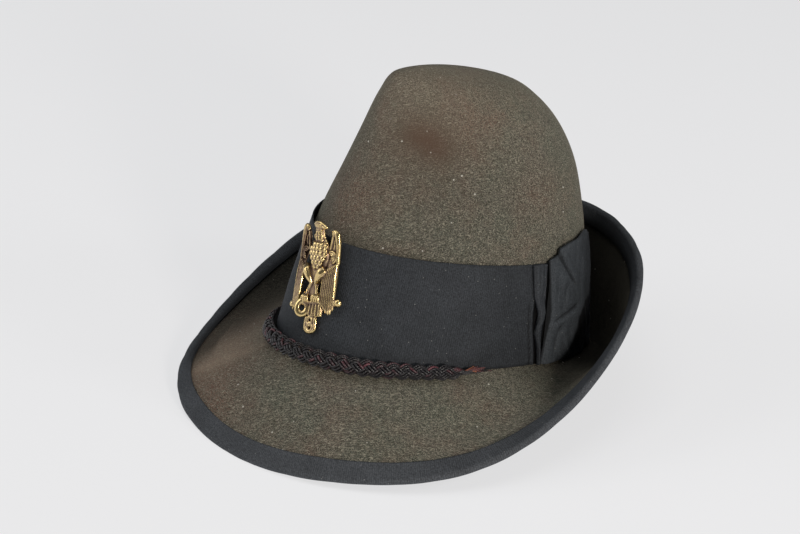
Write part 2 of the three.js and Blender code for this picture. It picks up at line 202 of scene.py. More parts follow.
def feltMaterial():
    look = feltLook
    material, tree = newMaterial("wool felt")
    place = addNode(tree, "TexCoord").outputs["Object"]
    worn, stain, fade, paintedShade = (
        addNode(tree, "Attribute", attribute_name=key).outputs["Fac"]
        for key in ("worn", "stain", "fade", "paintedShade"))
    grain = addNode(tree, "TexNoise", {"Vector": place, "Scale": 1 / (look["grain"] * mm), "Detail": 2.0})
    swirl = addNode(tree, "TexNoise", {"Vector": place, "Scale": 1 / (look["curl"] * mm), "Detail": 1.0})
    bend = addNode(tree, "VectorMath", {0: swirl.outputs["Color"], 1: (look["curl"] * mm,) * 3},
                   operation="MULTIPLY")
    warped = addNode(tree, "VectorMath", {0: place, 1: bend.outputs[0]}, operation="ADD").outputs[0]
    hairs = 0.0
    size = (look["hairWide"] * mm, look["hairWide"] * mm, look["hairLong"] * mm)
    for turn in ((0.3, 0.2, 0.4), (1.4, 0.4, 2.1), (0.5, 1.4, 1.2)):  # hairs lie three ways
        laid = addNode(tree, "Mapping", {"Vector": warped, "Rotation": turn, "Scale": size},
                       vector_type="TEXTURE")
        streak = addNode(tree, "TexNoise", {"Vector": laid.outputs[0], "Scale": 1.0, "Detail": 0.0})
        thin = addNode(tree, "MapRange", {"Value": streak.outputs["Fac"], 1: 0.63, 2: 0.74})
        hairs = addNode(tree, "Math", {0: hairs, 1: thin.outputs[0]}, operation="MAXIMUM").outputs[0]
    lit = addNode(tree, "MapRange", {"Value": grain.outputs["Fac"], 1: 0.35, 2: 0.65}).outputs[0]
    patch = addNode(tree, "TexNoise", {"Vector": place, "Scale": 1 / (look["patch"] * mm), "Detail": 6.0,
                                       "Roughness": 0.7})
    hues = addNode(tree, "SeparateColor", {0: patch.outputs["Color"]}).outputs
    mossy = addNode(tree, "MapRange", {"Value": hues[0], 1: 0.42, 2: 0.66, 3: 0.0, 4: look["mossy"]})
    handled = addNode(tree, "MapRange", {"Value": hues[1], 1: 0.46, 2: 0.68, 3: 0.0, 4: look["handled"]})
    browned = addNode(tree, "Math", {0: handled.outputs[0], 1: worn}, operation="ADD", use_clamp=True)
    cell = addNode(tree, "TexVoronoi", {"Vector": place, "Scale": 1 / (look["dustApart"] * mm)})
    speck = addNode(tree, "MapRange", {"Value": cell.outputs["Distance"], 1: 0.035, 2: 0.06,
                                       3: look["specks"], 4: 0.0})
    layers = [(lit, "grey")]
    tints = [(mossy.outputs[0], lit, "green"), (browned.outputs[0], lit, "brown"),
             (hairs, look["hairs"], "pale")]
    for share, by, colour in tints:
        tint = addNode(tree, "Math", {0: share, 1: by}, operation="MULTIPLY", use_clamp=True)
        layers.append((tint.outputs[0], colour))
    # the stain and the dust are the felt's own; the fade is partly faded felt and partly painted light, and
    # the near-black layer is painted shade
    layers += [(stain, "stain"), (fade, "faded"), (paintedShade, "paintedShade"), (speck.outputs[0], "dust")]
    cloth = srgb(look["dark"])
    for share, colour in layers:  # each is laid over what is under it
        mix = addNode(tree, "Mix", {0: share, 6: cloth, 7: srgb(look[colour])}, data_type="RGBA")
        cloth = mix.outputs[2]
    height = addNode(tree, "Math", {0: hairs, 1: 0.5, 2: grain.outputs["Fac"]}, operation="MULTIPLY_ADD")
    bump = addNode(tree, "Bump", {"Height": height.outputs[0], "Distance": look["relief"] * mm,
                                  "Strength": 0.8})
    shader = addNode(tree, "BsdfPrincipled", {
        "Base Color": cloth, "Roughness": look["rough"], "Specular IOR Level": 0.15,
        "Sheen Weight": look["sheen"], "Sheen Roughness": 0.45, "Sheen Tint": srgb(look["shine"]),
        "Normal": bump.outputs[0],
    })
    addNode(tree, "OutputMaterial", {"Surface": shader.outputs[0]})
    return material


# Grosgrain ribbon: a fine warp over thick weft cords, so close ribs run across it, with a faint silky sheen.
# The real ribs are about half as wide; they are drawn coarser so that they show, each crest a painted
# highlight.
ribbonLook = dict(
    band="#303337", bow="#363a3e", edge="#43464a", lint="#8e8f8c", paintedShade="#030304", shine="#9aa0ab",
    rib=1.25, cloud=16.0, fibre=0.9, lintSize=3.4,  # in mm
    dim=0.7, glow=1.4, ribs=0.48, nap=0.38, rare=0.62, faint=0.55, rough=0.72,  # shares
)


def ribbonMaterial(name, colour, ribHeight, sheen):
    look = ribbonLook
    material, tree = newMaterial(name)
    weave = addNode(tree, "TexCoord").outputs
    place = weave["Object"]
    across = addNode(tree, "SeparateXYZ", {0: weave["UV"]}).outputs["X"]
    phase = addNode(tree, "Math", {0: across, 1: 2 * np.pi / look["rib"]}, operation="MULTIPLY")
    wave = addNode(tree, "Math", {0: phase.outputs[0]}, operation="SINE")
    rib = addNode(tree, "MapRange", {"Value": wave.outputs[0], 1: -1.0, 2: 1.0}).outputs[0]
    cloudy = addNode(tree, "TexNoise", {"Vector": place, "Scale": 1 / (look["cloud"] * mm), "Detail": 4.0})
    fibre = addNode(tree, "TexNoise", {"Vector": place, "Scale": 1 / (look["fibre"] * mm), "Detail": 2.0})
    specks = addNode(tree, "TexVoronoi", {"Vector": place, "Scale": 1 / (look["lintSize"] * mm)})
    speck = addNode(tree, "MapRange", {"Value": specks.outputs["Distance"], 1: 0.06, 2: 0.11,
                                       3: 1.0, 4: 0.0})
    chosen = addNode(tree, "SeparateColor", {0: specks.outputs["Color"]})
    rare = addNode(tree, "Math", {0: chosen.outputs[0], 1: look["rare"]}, operation="GREATER_THAN")
    lint = addNode(tree, "Math", {0: speck.outputs[0], 1: rare.outputs[0]}, operation="MULTIPLY")
    faint = addNode(tree, "Math", {0: lint.outputs[0], 1: look["faint"]}, operation="MULTIPLY")
    base = srgb(colour)
    dim, glow = (tuple(c * look[key] for c in base[:3]) + (1.0,) for key in ("dim", "glow"))
    cloud = addNode(tree, "MapRange", {"Value": cloudy.outputs["Fac"], 1: 0.3, 2: 0.7})
    tone = addNode(tree, "Mix", {0: cloud.outputs[0], 6: dim, 7: base}, data_type="RGBA").outputs[2]
    # a painted highlight on each rib's crest: a lighter copy of the tone
    ribbed = addNode(tree, "Mix", {0: rib, 6: tone, 7: glow}, data_type="RGBA").outputs[2]
    woven = addNode(tree, "Mix", {0: look["ribs"], 6: tone, 7: ribbed}, data_type="RGBA").outputs[2]
    nap = addNode(tree, "MapRange", {"Value": fibre.outputs["Fac"], 1: 0.3, 2: 0.7,
                                     3: 1 - look["nap"], 4: 1 + look["nap"]})
    cloth = addNode(tree, "VectorMath", {0: woven, 1: nap.outputs[0]}, operation="MULTIPLY").outputs[0]
    # painted shade: each piece's painted values darken the cloth to near black
    shade = addNode(tree, "Attribute", attribute_name="paintedShade")
    for share, over in ((faint.outputs[0], "lint"), (shade.outputs["Fac"], "paintedShade")):
        mix = addNode(tree, "Mix", {0: share, 6: cloth, 7: srgb(look[over])}, data_type="RGBA")
        cloth = mix.outputs[2]
    relief = addNode(tree, "Math", {0: fibre.outputs["Fac"], 1: 0.35, 2: rib}, operation="MULTIPLY_ADD")
    bump = addNode(tree, "Bump", {"Height": relief.outputs[0], "Distance": ribHeight * mm, "Strength": 0.6})
    shader = addNode(tree, "BsdfPrincipled", {
        "Base Color": cloth, "Roughness": look["rough"], "Specular IOR Level": 0.15,
        "Sheen Weight": sheen, "Sheen Roughness": 0.3, "Sheen Tint": srgb(look["shine"]),
        "Normal": bump.outputs[0],
    })
    addNode(tree, "OutputMaterial", {"Surface": shader.outputs[0]})
    return material


# Rayon cord: twisted shiny thread, so each strand has a slanting highlight, partly painted into its colour;
# some threads are faded red.
cordLook = dict(
    black="#1d1b1e", red="#5c3239", orange="#a8602f",
    lay=1.5, relief=0.15,  # in mm
    rough=0.34, sunkRough=0.95, sunkLight=0.08,
)


def cordMaterial():
    look = cordLook
    material, tree = newMaterial("rayon cord")
    run = addNode(tree, "SeparateXYZ", {0: addNode(tree, "TexCoord").outputs["UV"]})
    red, orange, sunk = (
        addNode(tree, "Attribute", attribute_name=key).outputs["Fac"] for key in ("red", "orange", "sunk"))
    along = addNode(tree, "Math", {0: run.outputs["X"], 1: 1 / look["lay"], 2: run.outputs["Y"]},
                    operation="MULTIPLY_ADD")
    phase = addNode(tree, "Math", {0: along.outputs[0], 1: 2 * np.pi}, operation="MULTIPLY")
    twist = addNode(tree, "Math", {0: phase.outputs[0]}, operation="SINE")
    thread = addNode(tree, "MapRange", {"Value": twist.outputs[0], 1: -1.0, 2: 1.0}).outputs[0]
    dyed = srgb(look["black"])
    for share, colour in ((red, "red"), (orange, "orange")):
        mix = addNode(tree, "Mix", {0: share, 6: dyed, 7: srgb(look[colour])}, data_type="RGBA")
        dyed = mix.outputs[2]
    # painted light and shade along the twist, and painted shade where the cords are sunk
    shade = addNode(tree, "MapRange", {"Value": thread, 3: 0.65, 4: 1.15})
    gloom = addNode(tree, "MapRange", {"Value": sunk, 3: 1.0, 4: look["sunkLight"]})
    dim = addNode(tree, "Math", {0: shade.outputs[0], 1: gloom.outputs[0]}, operation="MULTIPLY")
    colour = addNode(tree, "VectorMath", {0: dyed, 1: dim.outputs[0]}, operation="MULTIPLY")
    gloss = addNode(tree, "MapRange", {"Value": sunk, 3: look["rough"], 4: look["sunkRough"]})
    bump = addNode(tree, "Bump", {"Height": thread, "Distance": look["relief"] * mm, "Strength": 0.8})
    shader = addNode(tree, "BsdfPrincipled", {
        "Base Color": colour.outputs[0], "Roughness": gloss.outputs[0], "Specular IOR Level": 0.5,
        "Normal": bump.outputs[0],
    })
    addNode(tree, "OutputMaterial", {"Surface": shader.outputs[0]})
    return material


# Cast brass, antiqued: bright where rubbed, brown and dull in the hollows, and darkened by painted shade.
brassLook = dict(
    rubbed="#e0c68c", plain="#8c7664", patinaAndShade="#3c2e25",
    blotch=2.5, grit=0.5, relief=0.08,  # in mm
    uneven=0.12, rubbedRough=0.24, hollowRough=0.62,
)


def brassMaterial():
    look = brassLook
    material, tree = newMaterial("antique brass")
    place = addNode(tree, "TexCoord").outputs["Object"]
    patinaAndShade = addNode(tree, "Attribute", attribute_name="patinaAndShade").outputs["Fac"]
    blotch = addNode(tree, "TexNoise", {"Vector": place, "Scale": 1 / (look["blotch"] * mm), "Detail": 4.0})
    grit = addNode(tree, "TexNoise", {"Vector": place, "Scale": 1 / (look["grit"] * mm), "Detail": 2.0})
    spread = addNode(tree, "MapRange", {"Value": blotch.outputs["Fac"], 1: 0.3, 2: 0.7,
                                        3: -look["uneven"], 4: look["uneven"]})
    deep = addNode(tree, "Math", {0: patinaAndShade, 1: spread.outputs[0]}, operation="ADD", use_clamp=True)
    depth = deep.outputs[0]
    dark = addNode(tree, "MapRange", {"Value": depth, 1: 0.5, 2: 0.85}).outputs[0]
    bright = addNode(tree, "MapRange", {"Value": depth, 1: 0.45, 2: 0.15}).outputs[0]
    metal = srgb(look["plain"])
    for share, tone in ((bright, "rubbed"), (dark, "patinaAndShade")):
        mix = addNode(tree, "Mix", {0: share, 6: metal, 7: srgb(look[tone])}, data_type="RGBA")
        metal = mix.outputs[2]
    rough = addNode(tree, "MapRange", {"Value": depth, 1: 0.2, 2: 0.8,
                                       3: look["rubbedRough"], 4: look["hollowRough"]})
    bump = addNode(tree, "Bump", {"Height": grit.outputs["Fac"], "Distance": look["relief"] * mm,
                                  "Strength": 0.5})
    shader = addNode(tree, "BsdfPrincipled", {
        "Base Color": metal, "Metallic": 1.0, "Roughness": rough.outputs[0], "Normal": bump.outputs[0],
    })
    addNode(tree, "OutputMaterial", {"Surface": shader.outputs[0]})
    return material


felt = feltMaterial()
bandRibbon = ribbonMaterial("grosgrain band ribbon", ribbonLook["band"], ribHeight=0.1, sheen=0.12)
bowRibbon = ribbonMaterial("grosgrain bow ribbon", ribbonLook["bow"], ribHeight=0.1, sheen=0.12)
edgeRibbon = ribbonMaterial("grosgrain edge ribbon", ribbonLook["edge"], ribHeight=0.22, sheen=0.03)
cordThread = cordMaterial()
brass = brassMaterial()
print("materials made")


# Hat shape: sections of the leaning crown, from the band's lower edge to the tip, in the part's own measures

head = dict(y=17.5, z=32.2, lean=np.radians(10), saddle=1.9, felt=2.2, gap=0.3)
sag = dict(drop=4.0, angle=-40.0, spread=26.0)  # the foot is lower beside the front on the wearer's right
crown = dict(
    rise=[0, 31, 62, 88, 113, 133, 147, 156.3, 161.2, 163.8],
    front=[-102.5, -93, -83, -75.6, -68.2, -61.7, -57.4, -54.8, -50.2, -32.5],
    back=[102.5, 94, 87.6, 82.6, 75.7, 64.3, 50.2, 32.4, -2.4, -32.5],
    half=[91.5, 92, 89, 82.8, 73, 61.4, 48, 34.4, 16.2, 0],
    pinch=[0.14, 0.19, 0.24, 0.28, 0.31, 0.33, 0.34, 0.34, 0.3, 0],
)
crown = {key: np.array(values, float) for key, values in crown.items()}
crownTop = len(crown["rise"]) - 1
bandRow = 2  # the section at the band's upper edge
dent = dict(angle=52.0, row=4.1, depth=3.0, spread=20.0, rows=1.1)

# the brim every 30 degrees round from the front by the wearer's left: its reach from the break, the height
# of its edge, and its slopes in degrees at the break and at the edge
brim = dict(
    reach=[56, 61.5, 63.8, 52, 37, 21, 23.3, 21.4, 35.6, 53.7, 60, 60.7],
    height=[1.6, 6.4, 14, 41, 74, 83, 78, 82, 75, 41, 13.8, 6.4],
    inner=[-32, -30, -27, -18, -25, -64, -88, -64, -25, -18, -27, -30],
    outer=[-44, -36, -10, 32, 64, 80, 86, 80, 64, 32, -10, -36],
)
breakOut = 1.0  # the break is this far out from the crown's foot
breakDrop = 1.5  # and this far below it
breakRound = 5.0  # run of its rounding
brimBow = 0.54  # length of the curve's handles, as a share of its span


def leaned(x, y, rise):  # from the leaning crown's measures to the hat's
    c, s = np.cos(head["lean"]), np.sin(head["lean"])
    return np.stack(np.broadcast_arrays(x, head["y"] + y * c + rise * s, head["z"] + rise * c - y * s), -1)


# A section is an oval whose front is narrowed by its pinch; past the tip come those of the opposite side.
def sectionPoint(index, angle):
    over = index > crownTop
    index = np.where(over, 2 * crownTop - index, index)
    turn = np.radians(np.where(over, angle + 180, angle))
    front, back, pinch = crown["front"][index], crown["back"][index], crown["pinch"][index]
    x = crown["half"][index] * np.sin(turn) * (1 - pinch * (1 + np.cos(turn)) / 2)
    y = (front + back) / 2 - (back - front) / 2 * np.cos(turn)
    drop = sag["drop"] * bell(turned(angle) - sag["angle"], sag["spread"])
    dip = np.where(index == 0, -head["saddle"] * np.cos(2 * turn) - drop, 0)
    return leaned(x, y, crown["rise"][index] + dip)


# The crown's outside: a smooth curve up through the sections at each angle, dented beside the front ridge.
def crownPoint(angle, row):
    angle, row = np.broadcast_arrays(np.asarray(angle, float), np.asarray(row, float))
    index = np.floor(row).astype(int)
    b, c, d = (sectionPoint(index + k, angle) for k in (0, 1, 2))
    a = np.where((index > 0)[..., None], sectionPoint(np.maximum(index - 1, 0), angle), 2 * b - c)
    point = between(a, b, c, d, (row - index)[..., None])
    side = turned(angle)
    press = bell(np.abs(side) - dent["angle"], dent["spread"]) * bell(row - dent["row"], dent["rows"])
    point[..., 0] -= np.sign(side) * dent["depth"] * press
    return point


def crownNormal(angle, row):  # square to the crown's lines round and up
    around = crownPoint(angle + 1, row) - crownPoint(angle - 1, row)
    up = crownPoint(angle, row + 0.1) - crownPoint(angle, np.maximum(row - 0.1, 0))
    return unit(np.cross(around, up))


# A column of the brim's table at any angle: cubics between the values, whose bends agree where they meet.
def brimAt(column, angle):
    values = np.array(brim[column], float)
    count = len(values)
    same = np.eye(count)
    spread = 4 * same + np.roll(same, 1, 0) + np.roll(same, -1, 0)
    bend = np.linalg.solve(spread, np.roll(values, -1) - 2 * values + np.roll(values, 1))
    share = np.asarray(angle, float) % 360 * count / 360
    low = np.floor(share).astype(int)
    t, low, high = share - low, low % count, (low + 1) % count
    s = 1 - t
    return s * values[low] + t * values[high] + (s**3 - s) * bend[low] + (t**3 - t) * bend[high]


def brimDirection(angle):  # level, square to the crown's foot
    low = np.zeros_like(angle, int)
    along = sectionPoint(low, angle + 1) - sectionPoint(low, angle - 1)
    return unit(np.stack([along[..., 1], -along[..., 0], np.zeros_like(angle)], -1))


def breakPoint(angle):  # where the brim sets off: out from the crown's foot, and down
    point = sectionPoint(np.zeros_like(angle, int), angle) + brimDirection(angle) * breakOut
    return point - [0, 0, breakDrop]


# The brim's run from break to edge is a Bezier curve in an upright plane; t goes from 0 to 1.
def brimPoint(angle, t):
    start, out = breakPoint(angle), brimDirection(angle)
    reach, rise = brimAt("reach", angle), brimAt("height", angle) - start[..., 2]
    handle = brimBow * np.hypot(reach, rise)
    inner, outer = np.radians(brimAt("inner", angle)), np.radians(brimAt("outer", angle))
    along = np.stack([0 * reach, handle * np.cos(inner), reach - handle * np.cos(outer), reach], -1)
    above = np.stack([0 * rise, handle * np.sin(inner), rise - handle * np.sin(outer), rise], -1)
    weight = np.stack([(1 - t) ** 3, 3 * t * (1 - t) ** 2, 3 * t**2 * (1 - t), t**3], -1)
    level, lift = (weight * along).sum(-1), (weight * above).sum(-1)
    return start + out * level[..., None] + np.stack([0 * lift, 0 * lift, lift], -1)


# The brim at given distances from its edge: t is found from the run's length.
def brimFromEdge(angle, distance, samples=160):
    t = np.linspace(0, 1, samples)
    run = runLength(brimPoint(angle[:, None], t[None]))
    goal = run[:, -1:] - distance
    index = np.clip((run[:, None, :] <= goal[:, :, None]).sum(-1) - 1, 0, samples - 2)
    low, high = np.take_along_axis(run, index, 1), np.take_along_axis(run, index + 1, 1)
    return brimPoint(angle[:, None], t[index] + (goal - low) / (high - low) / (samples - 1))


# Felt body

feltBody = dict(
    columns=360, crownRows=84, roundRows=6, brimRows=54, edgeRows=14,
    tipGap=0.03, typicalRise=30.0, lumps=0.25, lumpSize=80.0,
)


def surfaceNormals(points):  # for a net closed across: square to the neighbours' lines
    around = np.roll(points, -1, 0) - np.roll(points, 1, 0)
    return unit(np.cross(np.gradient(points, axis=1), around))


# The crown from its tip down, a rounding by a quadratic Bezier curve, and the brim; the inner face is as far
# beneath as the felt is thick.
def feltPiece():
    size = feltBody
    angle = np.arange(size["columns"]) * 360 / size["columns"]
    tip = crownTop - size["tipGap"]
    top = crownPoint(angle[:, None], (tip - np.linspace(0, 1, size["crownRows"]) * tip)[None])
    span = np.hypot(brimAt("reach", angle), size["typicalRise"])[:, None]
    first = breakRound / (3 * brimBow * span)
    share = np.linspace(0, 1, size["brimRows"])[None]
    low = brimPoint(angle[:, None], first + (1 - first) * share)
    t = np.linspace(0, 1, size["roundRows"] + 2)[1:-1][None, :, None]
    corner = breakPoint(angle)[:, None]
    rounding = top[:, -1:] * (1 - t) ** 2 + 2 * corner * t * (1 - t) + low[:, :1] * t**2
    outside = np.concatenate([top, rounding, low], 1)
    normal = surfaceNormals(outside)
    halfway = size["crownRows"] // 2
    normal *= np.sign((normal[:, halfway] * (outside[:, halfway] - outside.mean((0, 1)))).sum(-1).mean())
    fade = np.ones(outside.shape[1])
    fade[-size["edgeRows"]:] = np.linspace(1, 0, size["edgeRows"])  # the edge stays where its binding is
    u, v = outside[..., 0] / size["lumpSize"], (outside[..., 1] + outside[..., 2]) / size["lumpSize"]
    outside = outside + normal * (size["lumps"] * ripple(u, v, 3) * fade)[..., None]
    inside = (outside - normal * head["felt"])[:, ::-2]
    outside[..., 2] = np.maximum(outside[..., 2], head["felt"])
    inside[..., 2] = np.maximum(inside[..., 2], 0)
    points = np.concatenate([outside, inside], 1)
    part = outwards(net(points, closedAcross=True, capRows=True))
    rowAngle = np.broadcast_to(turned(angle)[:, None], points.shape[:2])
    return makePiece("felt_hat_body", part, felt, feltPaint(points, rowAngle, outside.shape[1]))


# Where the felt is stained, browned by handling, or paler, partly faded and partly painted light:
# bells about places on the hat.
feltMarks = dict(  # x, y, z, spread, strength
    stain=[(18, -14, 170, 9, 0.28), (27, -8, 167, 11, 0.42), (35, -2, 159, 10, 0.32),
           (26, -10, 164, 32, 0.34)],
    worn=[(-50, -108, 24, 30, 0.7), (-84, -96, 16, 34, 0.8), (-5, -43, 128, 18, 0.6), (66, 45, 132, 20, 0.4),
          (37, 16, 175, 18, 0.4), (-30, -128, 10, 24, 0.4), (-100, -45, 24, 36, 0.7)],
    # paler: partly faded felt, partly painted light on the crown's top and front; the row of small ones is a
    # painted highlight along the left brim's bend
    fade=[(-70, -92, 26, 24, 0.3), (-36, -86, 40, 6, 0.14), (-44, -93, 34, 6, 0.18),
          (-53, -99, 28, 6, 0.22), (-62, -105, 22, 6, 0.22), (-71, -109, 16, 6, 0.22),
          (5, -48, 118, 34, 0.05), (5, 10, 196, 48, 0.14)],
)
# Shares of painted shade, and the ramps that bring them in, as start and length: by angle in degrees from
# the front, by height in millimetres, or by share of the brim's run from the break.
feltShade = dict(
    inside=0.35, insideMore=0.5, insideAngle=110, insideSpread=32,
    troughBelow=(112, -40),
    left=0.6, leftFrom=(74, 22), behind=0.38, behindFrom=(100, 20),
    paler=0.75, palerOut=(0.55, 0.4), palerBefore=(112, 22),
    right=0.82, rightFrom=(-30, -40),
    edge=0.7, edgeOut=(0.72, 0.14), edgeFrom=(-31, -13),
    crown=0.09, crownBelow=(170, -40),
)


# Marks as sums of bells; painted shade in the hat, in the trough within the raised brim and along its edge,
# and low on the crown.
def feltPaint(points, angle, outsideRows):
    paint = {}
    for key, marks in feltMarks.items():
        total = np.zeros(points.shape[:2])
        for x, y, z, spread, strength in marks:
            total += strength * bell(np.linalg.norm(points - [x, y, z], axis=-1), spread)
        paint[key] = np.clip(total, 0, 1)
    shade, height = feltShade, points[..., 2]
    row = np.arange(points.shape[1])
    fromBreak = np.clip((row - feltBody["crownRows"]) / feltBody["brimRows"], 0, 1)[None]
    within = shade["insideMore"] * bell(angle - shade["insideAngle"], shade["insideSpread"])
    inside = np.where(row >= outsideRows, shade["inside"] + within, 0)
    paler = ramp(fromBreak, *shade["palerOut"]) * (1 - ramp(angle, *shade["palerBefore"]))
    behind = shade["behind"] * ramp(angle, *shade["behindFrom"])
    left = shade["left"] * ramp(angle, *shade["leftFrom"]) + behind
    left = left * (1 - shade["paler"] * paler)
    edge = shade["edge"] * ramp(fromBreak, *shade["edgeOut"]) * ramp(angle, *shade["edgeFrom"])
    right = shade["right"] * ramp(angle, *shade["rightFrom"])
    trough = ramp(height, *shade["troughBelow"]) * np.maximum(np.maximum(left, edge), right)
    low = shade["crown"] * ramp(height, *shade["crownBelow"])
    outside = np.where(row < feltBody["crownRows"], low, trough)
    paint["paintedShade"] = np.maximum(inside, outside * (inside == 0))
    return paint


feltObject = feltPiece()
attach(feltObject, "root")
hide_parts("felt_body")


# Band

band = dict(thickness=0.9, columns=720, rows=28, slack=0.3, edge=0.35, clear=1.0, swell=0.22)
gape = dict(out=5.0, angle=5.0, spread=45.0)  # across the front the upper edge stands off the felt
rideUp = dict(rows=0.12, angle=-60.0, spread=40.0)  # beyond the ridge it also rides up
bandRise = crown["rise"][bandRow]
layGap = 0.9  # under what lies on the band


def overBand(angle, height, offset):  # a point over the band by angle and share of its height
    side = turned(angle)
    slack = band["slack"] + gape["out"] * bell(side - gape["angle"], gape["spread"])
    ride = rideUp["rows"] * bell(side - rideUp["angle"], rideUp["spread"])
    row = bandRow * height + ride * height**2
    stand = head["gap"] + slack * height**2 + band["clear"] + offset
    return crownPoint(angle, row) + crownNormal(angle, row) * np.asarray(stand)[..., None]


# a small fold in the band before the knot
crease = dict(angle=87.0, spread=5.0, height=0.515, slope=0.001, depth=0.7, width=0.02)

# the ribbon's turned end before the knot: a leaning ridge with painted shade in a line before it and in the
# gap beyond
seamFold = dict(
    angle=89.3, lean=2.4, leanBelow=(0.5, -0.5), width=0.5, height=1.2, below=(0.72, -0.1),
    line=0.8, lineBefore=1.1, lineWidth=0.35, gapFrom=(0.4, 0.5), gapUnder=1.5, gapEnd=-0.5,
)
bandShade = dict(  # shares of painted shade, with the ramps that bring them in
    behind=0.85, behindFrom=(112, 30), behindBelow=(0.75, -0.5), left=0.14, leftFrom=(55, 25), leftTo=150,
)

# edges of the knot strip and of the bow in degrees round the hat, by height from the band's foot
knot = dict(
    height=[0, 0.15, 0.22, 0.34, 0.42, 0.47, 0.55, 0.7, 0.85, 1.0],
    left=[93.3, 93.0, 92.3, 90.9, 91.2, 92.1, 91.7, 89.2, 88.4, 87.9],
    right=[94.0, 93.8, 93.8, 93.6, 93.6, 94.4, 94.9, 93.8, 94.4, 94.6],
    thickness=1.0, crown=1.5, uneven=0.35, top=0.008, columns=24, rows=90, nearEdge=0.0,
)
bow = dict(
    height=[0, 0.21, 0.35, 0.45, 0.56, 0.72, 0.85, 1.0],
    left=[94.3, 95.4, 96.4, 97.3, 97.4, 96.5, 96.0, 95.4],
    right=[147, 147, 147, 146, 146, 145, 144, 144],
    thickness=1.0, columns=200, rows=100, nearEdge=0.85,
)


# A closed sheet round the band's place, whose face swells unevenly and has the fold and the turned end.
def bandPiece():
    angle = np.arange(band["columns"]) * 360.0 / band["columns"]
    height = np.linspace(0, 1, band["rows"])
    a, h = angle[:, None], height[None]
    swell = band["swell"] * ripple(a / 24, h * 1.6, 5) * np.sin(np.pi * h) ** 0.5
    line = crease["height"] + crease["slope"] * (a - crease["angle"])
    fold = crease["depth"] * bell(turned(a) - crease["angle"], crease["spread"])
    ridge, valley = (bell(h - line + side * crease["width"], crease["width"]) for side in (1, -1))
    swell = swell + fold * (ridge - valley)
    below = ramp(h, *seamFold["below"])
    seam = a - seamFold["angle"] - seamFold["lean"] * ramp(h, *seamFold["leanBelow"])
    swell = swell + seamFold["height"] * bell(seam, seamFold["width"]) * below
    face = overBand(a, h, swell)
    back = overBand(a, h, np.full_like(swell, -band["thickness"]))
    top = np.array([[1 + band["edge"] / bandRise]])
    soft = overBand(a, top, np.full_like(top, -0.5 * band["thickness"]))
    points = np.concatenate([face, soft, back[:, ::-1]], 1)
    middle = face[:, band["rows"] // 2]
    girth = runLength(np.concatenate([middle, middle[:1]])[None])[0]
    across = np.concatenate([height, [1.01], height[::-1], [0]]) * bandRise
    part = outwards(net(points, closedAcross=True, closedAlong=True, uAt=girth, vAt=across))
    # painted shade: low within the raised brim towards the back, a little round the wearer's left side, and
    # in the seam's line and gap
    behind = bandShade["behind"] * ramp(np.abs(turned(a)), *bandShade["behindFrom"])
    behind = behind * ramp(h, *bandShade["behindBelow"])
    left = bandShade["left"] * ramp(a, *bandShade["leftFrom"]) * (a < bandShade["leftTo"])
    under = np.interp(h, bow["height"], bow["left"]) + seamFold["gapUnder"]
    gap = ramp(seam, *seamFold["gapFrom"]) * ramp(a, under, seamFold["gapEnd"])
    line = seamFold["line"] * below * bell(seam + seamFold["lineBefore"], seamFold["lineWidth"])
    shade = np.maximum(np.maximum(behind, left), np.maximum(gap, line))
    shade = np.concatenate([shade, 0 * shade[:, :1], 0 * shade], 1)
    print("band girth", girth[-1])
    return makePiece("ribbon_band", part, bandRibbon, dict(paintedShade=shade))


bandObject = bandPiece()
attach(bandObject, "root")
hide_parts("hat_band")


# Knot and bow

stripBack = 0.35  # how much of its folds a strip's back takes
stripRow = 40  # the row along which a strip's run is measured
stripShade = dict(  # shares of painted shade: the brim's shadow low down, to the back, at the near edge and in creases
    height=[0, 0.05, 0.12, 0.2, 0.4, 0.5, 0.56, 0.65],
    angle=[104, 106.5, 110, 112.5, 115.5, 120, 132, 150],  # where the low dark begins, by height
    low=0.96, over=3.0, back=0.4, backFrom=(110, 16), nearEdge=(0.02, -0.02),
    crevice=0.6, creviceSteps=(-6, -4, -2, 2, 4, 6), creviceFrom=0.04,
)


# A strip of ribbon over the band between two wavy edges: thickness and folds stand out from the band.
def ribbonStrip(name, strip, standing, topRise, material):
    s = np.linspace(0, 1, strip["columns"])[:, None]
    h = np.linspace(0, 1, strip["rows"])[None]
    tall = h * (1 + topRise(s))
    left, right = (np.interp(h, strip["height"], strip[side]) for side in ("left", "right"))
    angle = left + (right - left) * s
    stand = standing(s, tall, angle)
    face = overBand(angle, tall, layGap + strip["thickness"] + stand)
    back = overBand(angle, tall, layGap + stripBack * stand)
    points = np.concatenate([face, back[:, ::-1]], 1)
    run = runLength(face[:, stripRow][None])[0]
    rise = np.linspace(0, bandRise, strip["rows"])
    across = np.concatenate([rise, rise[::-1], [0]])
    part = outwards(net(points, closedAlong=True, capColumns=True, uAt=run, vAt=across))
    dark = stripShade
    lowFrom = np.interp(tall, dark["height"], dark["angle"]) - dark["over"] / 2
    low = dark["low"] * ramp(angle, lowFrom, dark["over"])
    toBack = dark["back"] * ramp(angle, *dark["backFrom"])
    near = strip["nearEdge"] * ramp(s, *dark["nearEdge"])
    # painted shade in the creases, where the face lies below its neighbours
    steps = dark["creviceSteps"]
    around = sum(np.roll(stand, k, 0) + np.roll(stand, k, 1) for k in steps) / (2 * len(steps))
    crevice = np.clip(around - stand, 0, dark["crevice"]) * (np.minimum(s, 1 - s) > dark["creviceFrom"])
    shade = np.maximum(np.maximum(low, toBack), np.maximum(near, crevice))
    return makePiece(name, part, material, dict(paintedShade=np.concatenate([shade, shade[:, ::-1]], 1)))


def knotStanding(s, h, angle):  # rounded across, creased along, uneven up its length
    arch = np.sin(np.pi * s)
    return knot["crown"] * arch**0.7 + knot["uneven"] * ripple(s * 1.2, h * 2.4, 8) * arch


def knotRise(s):  # the knot's upper edge is slightly domed
    return knot["top"] * np.sin(np.pi * s)


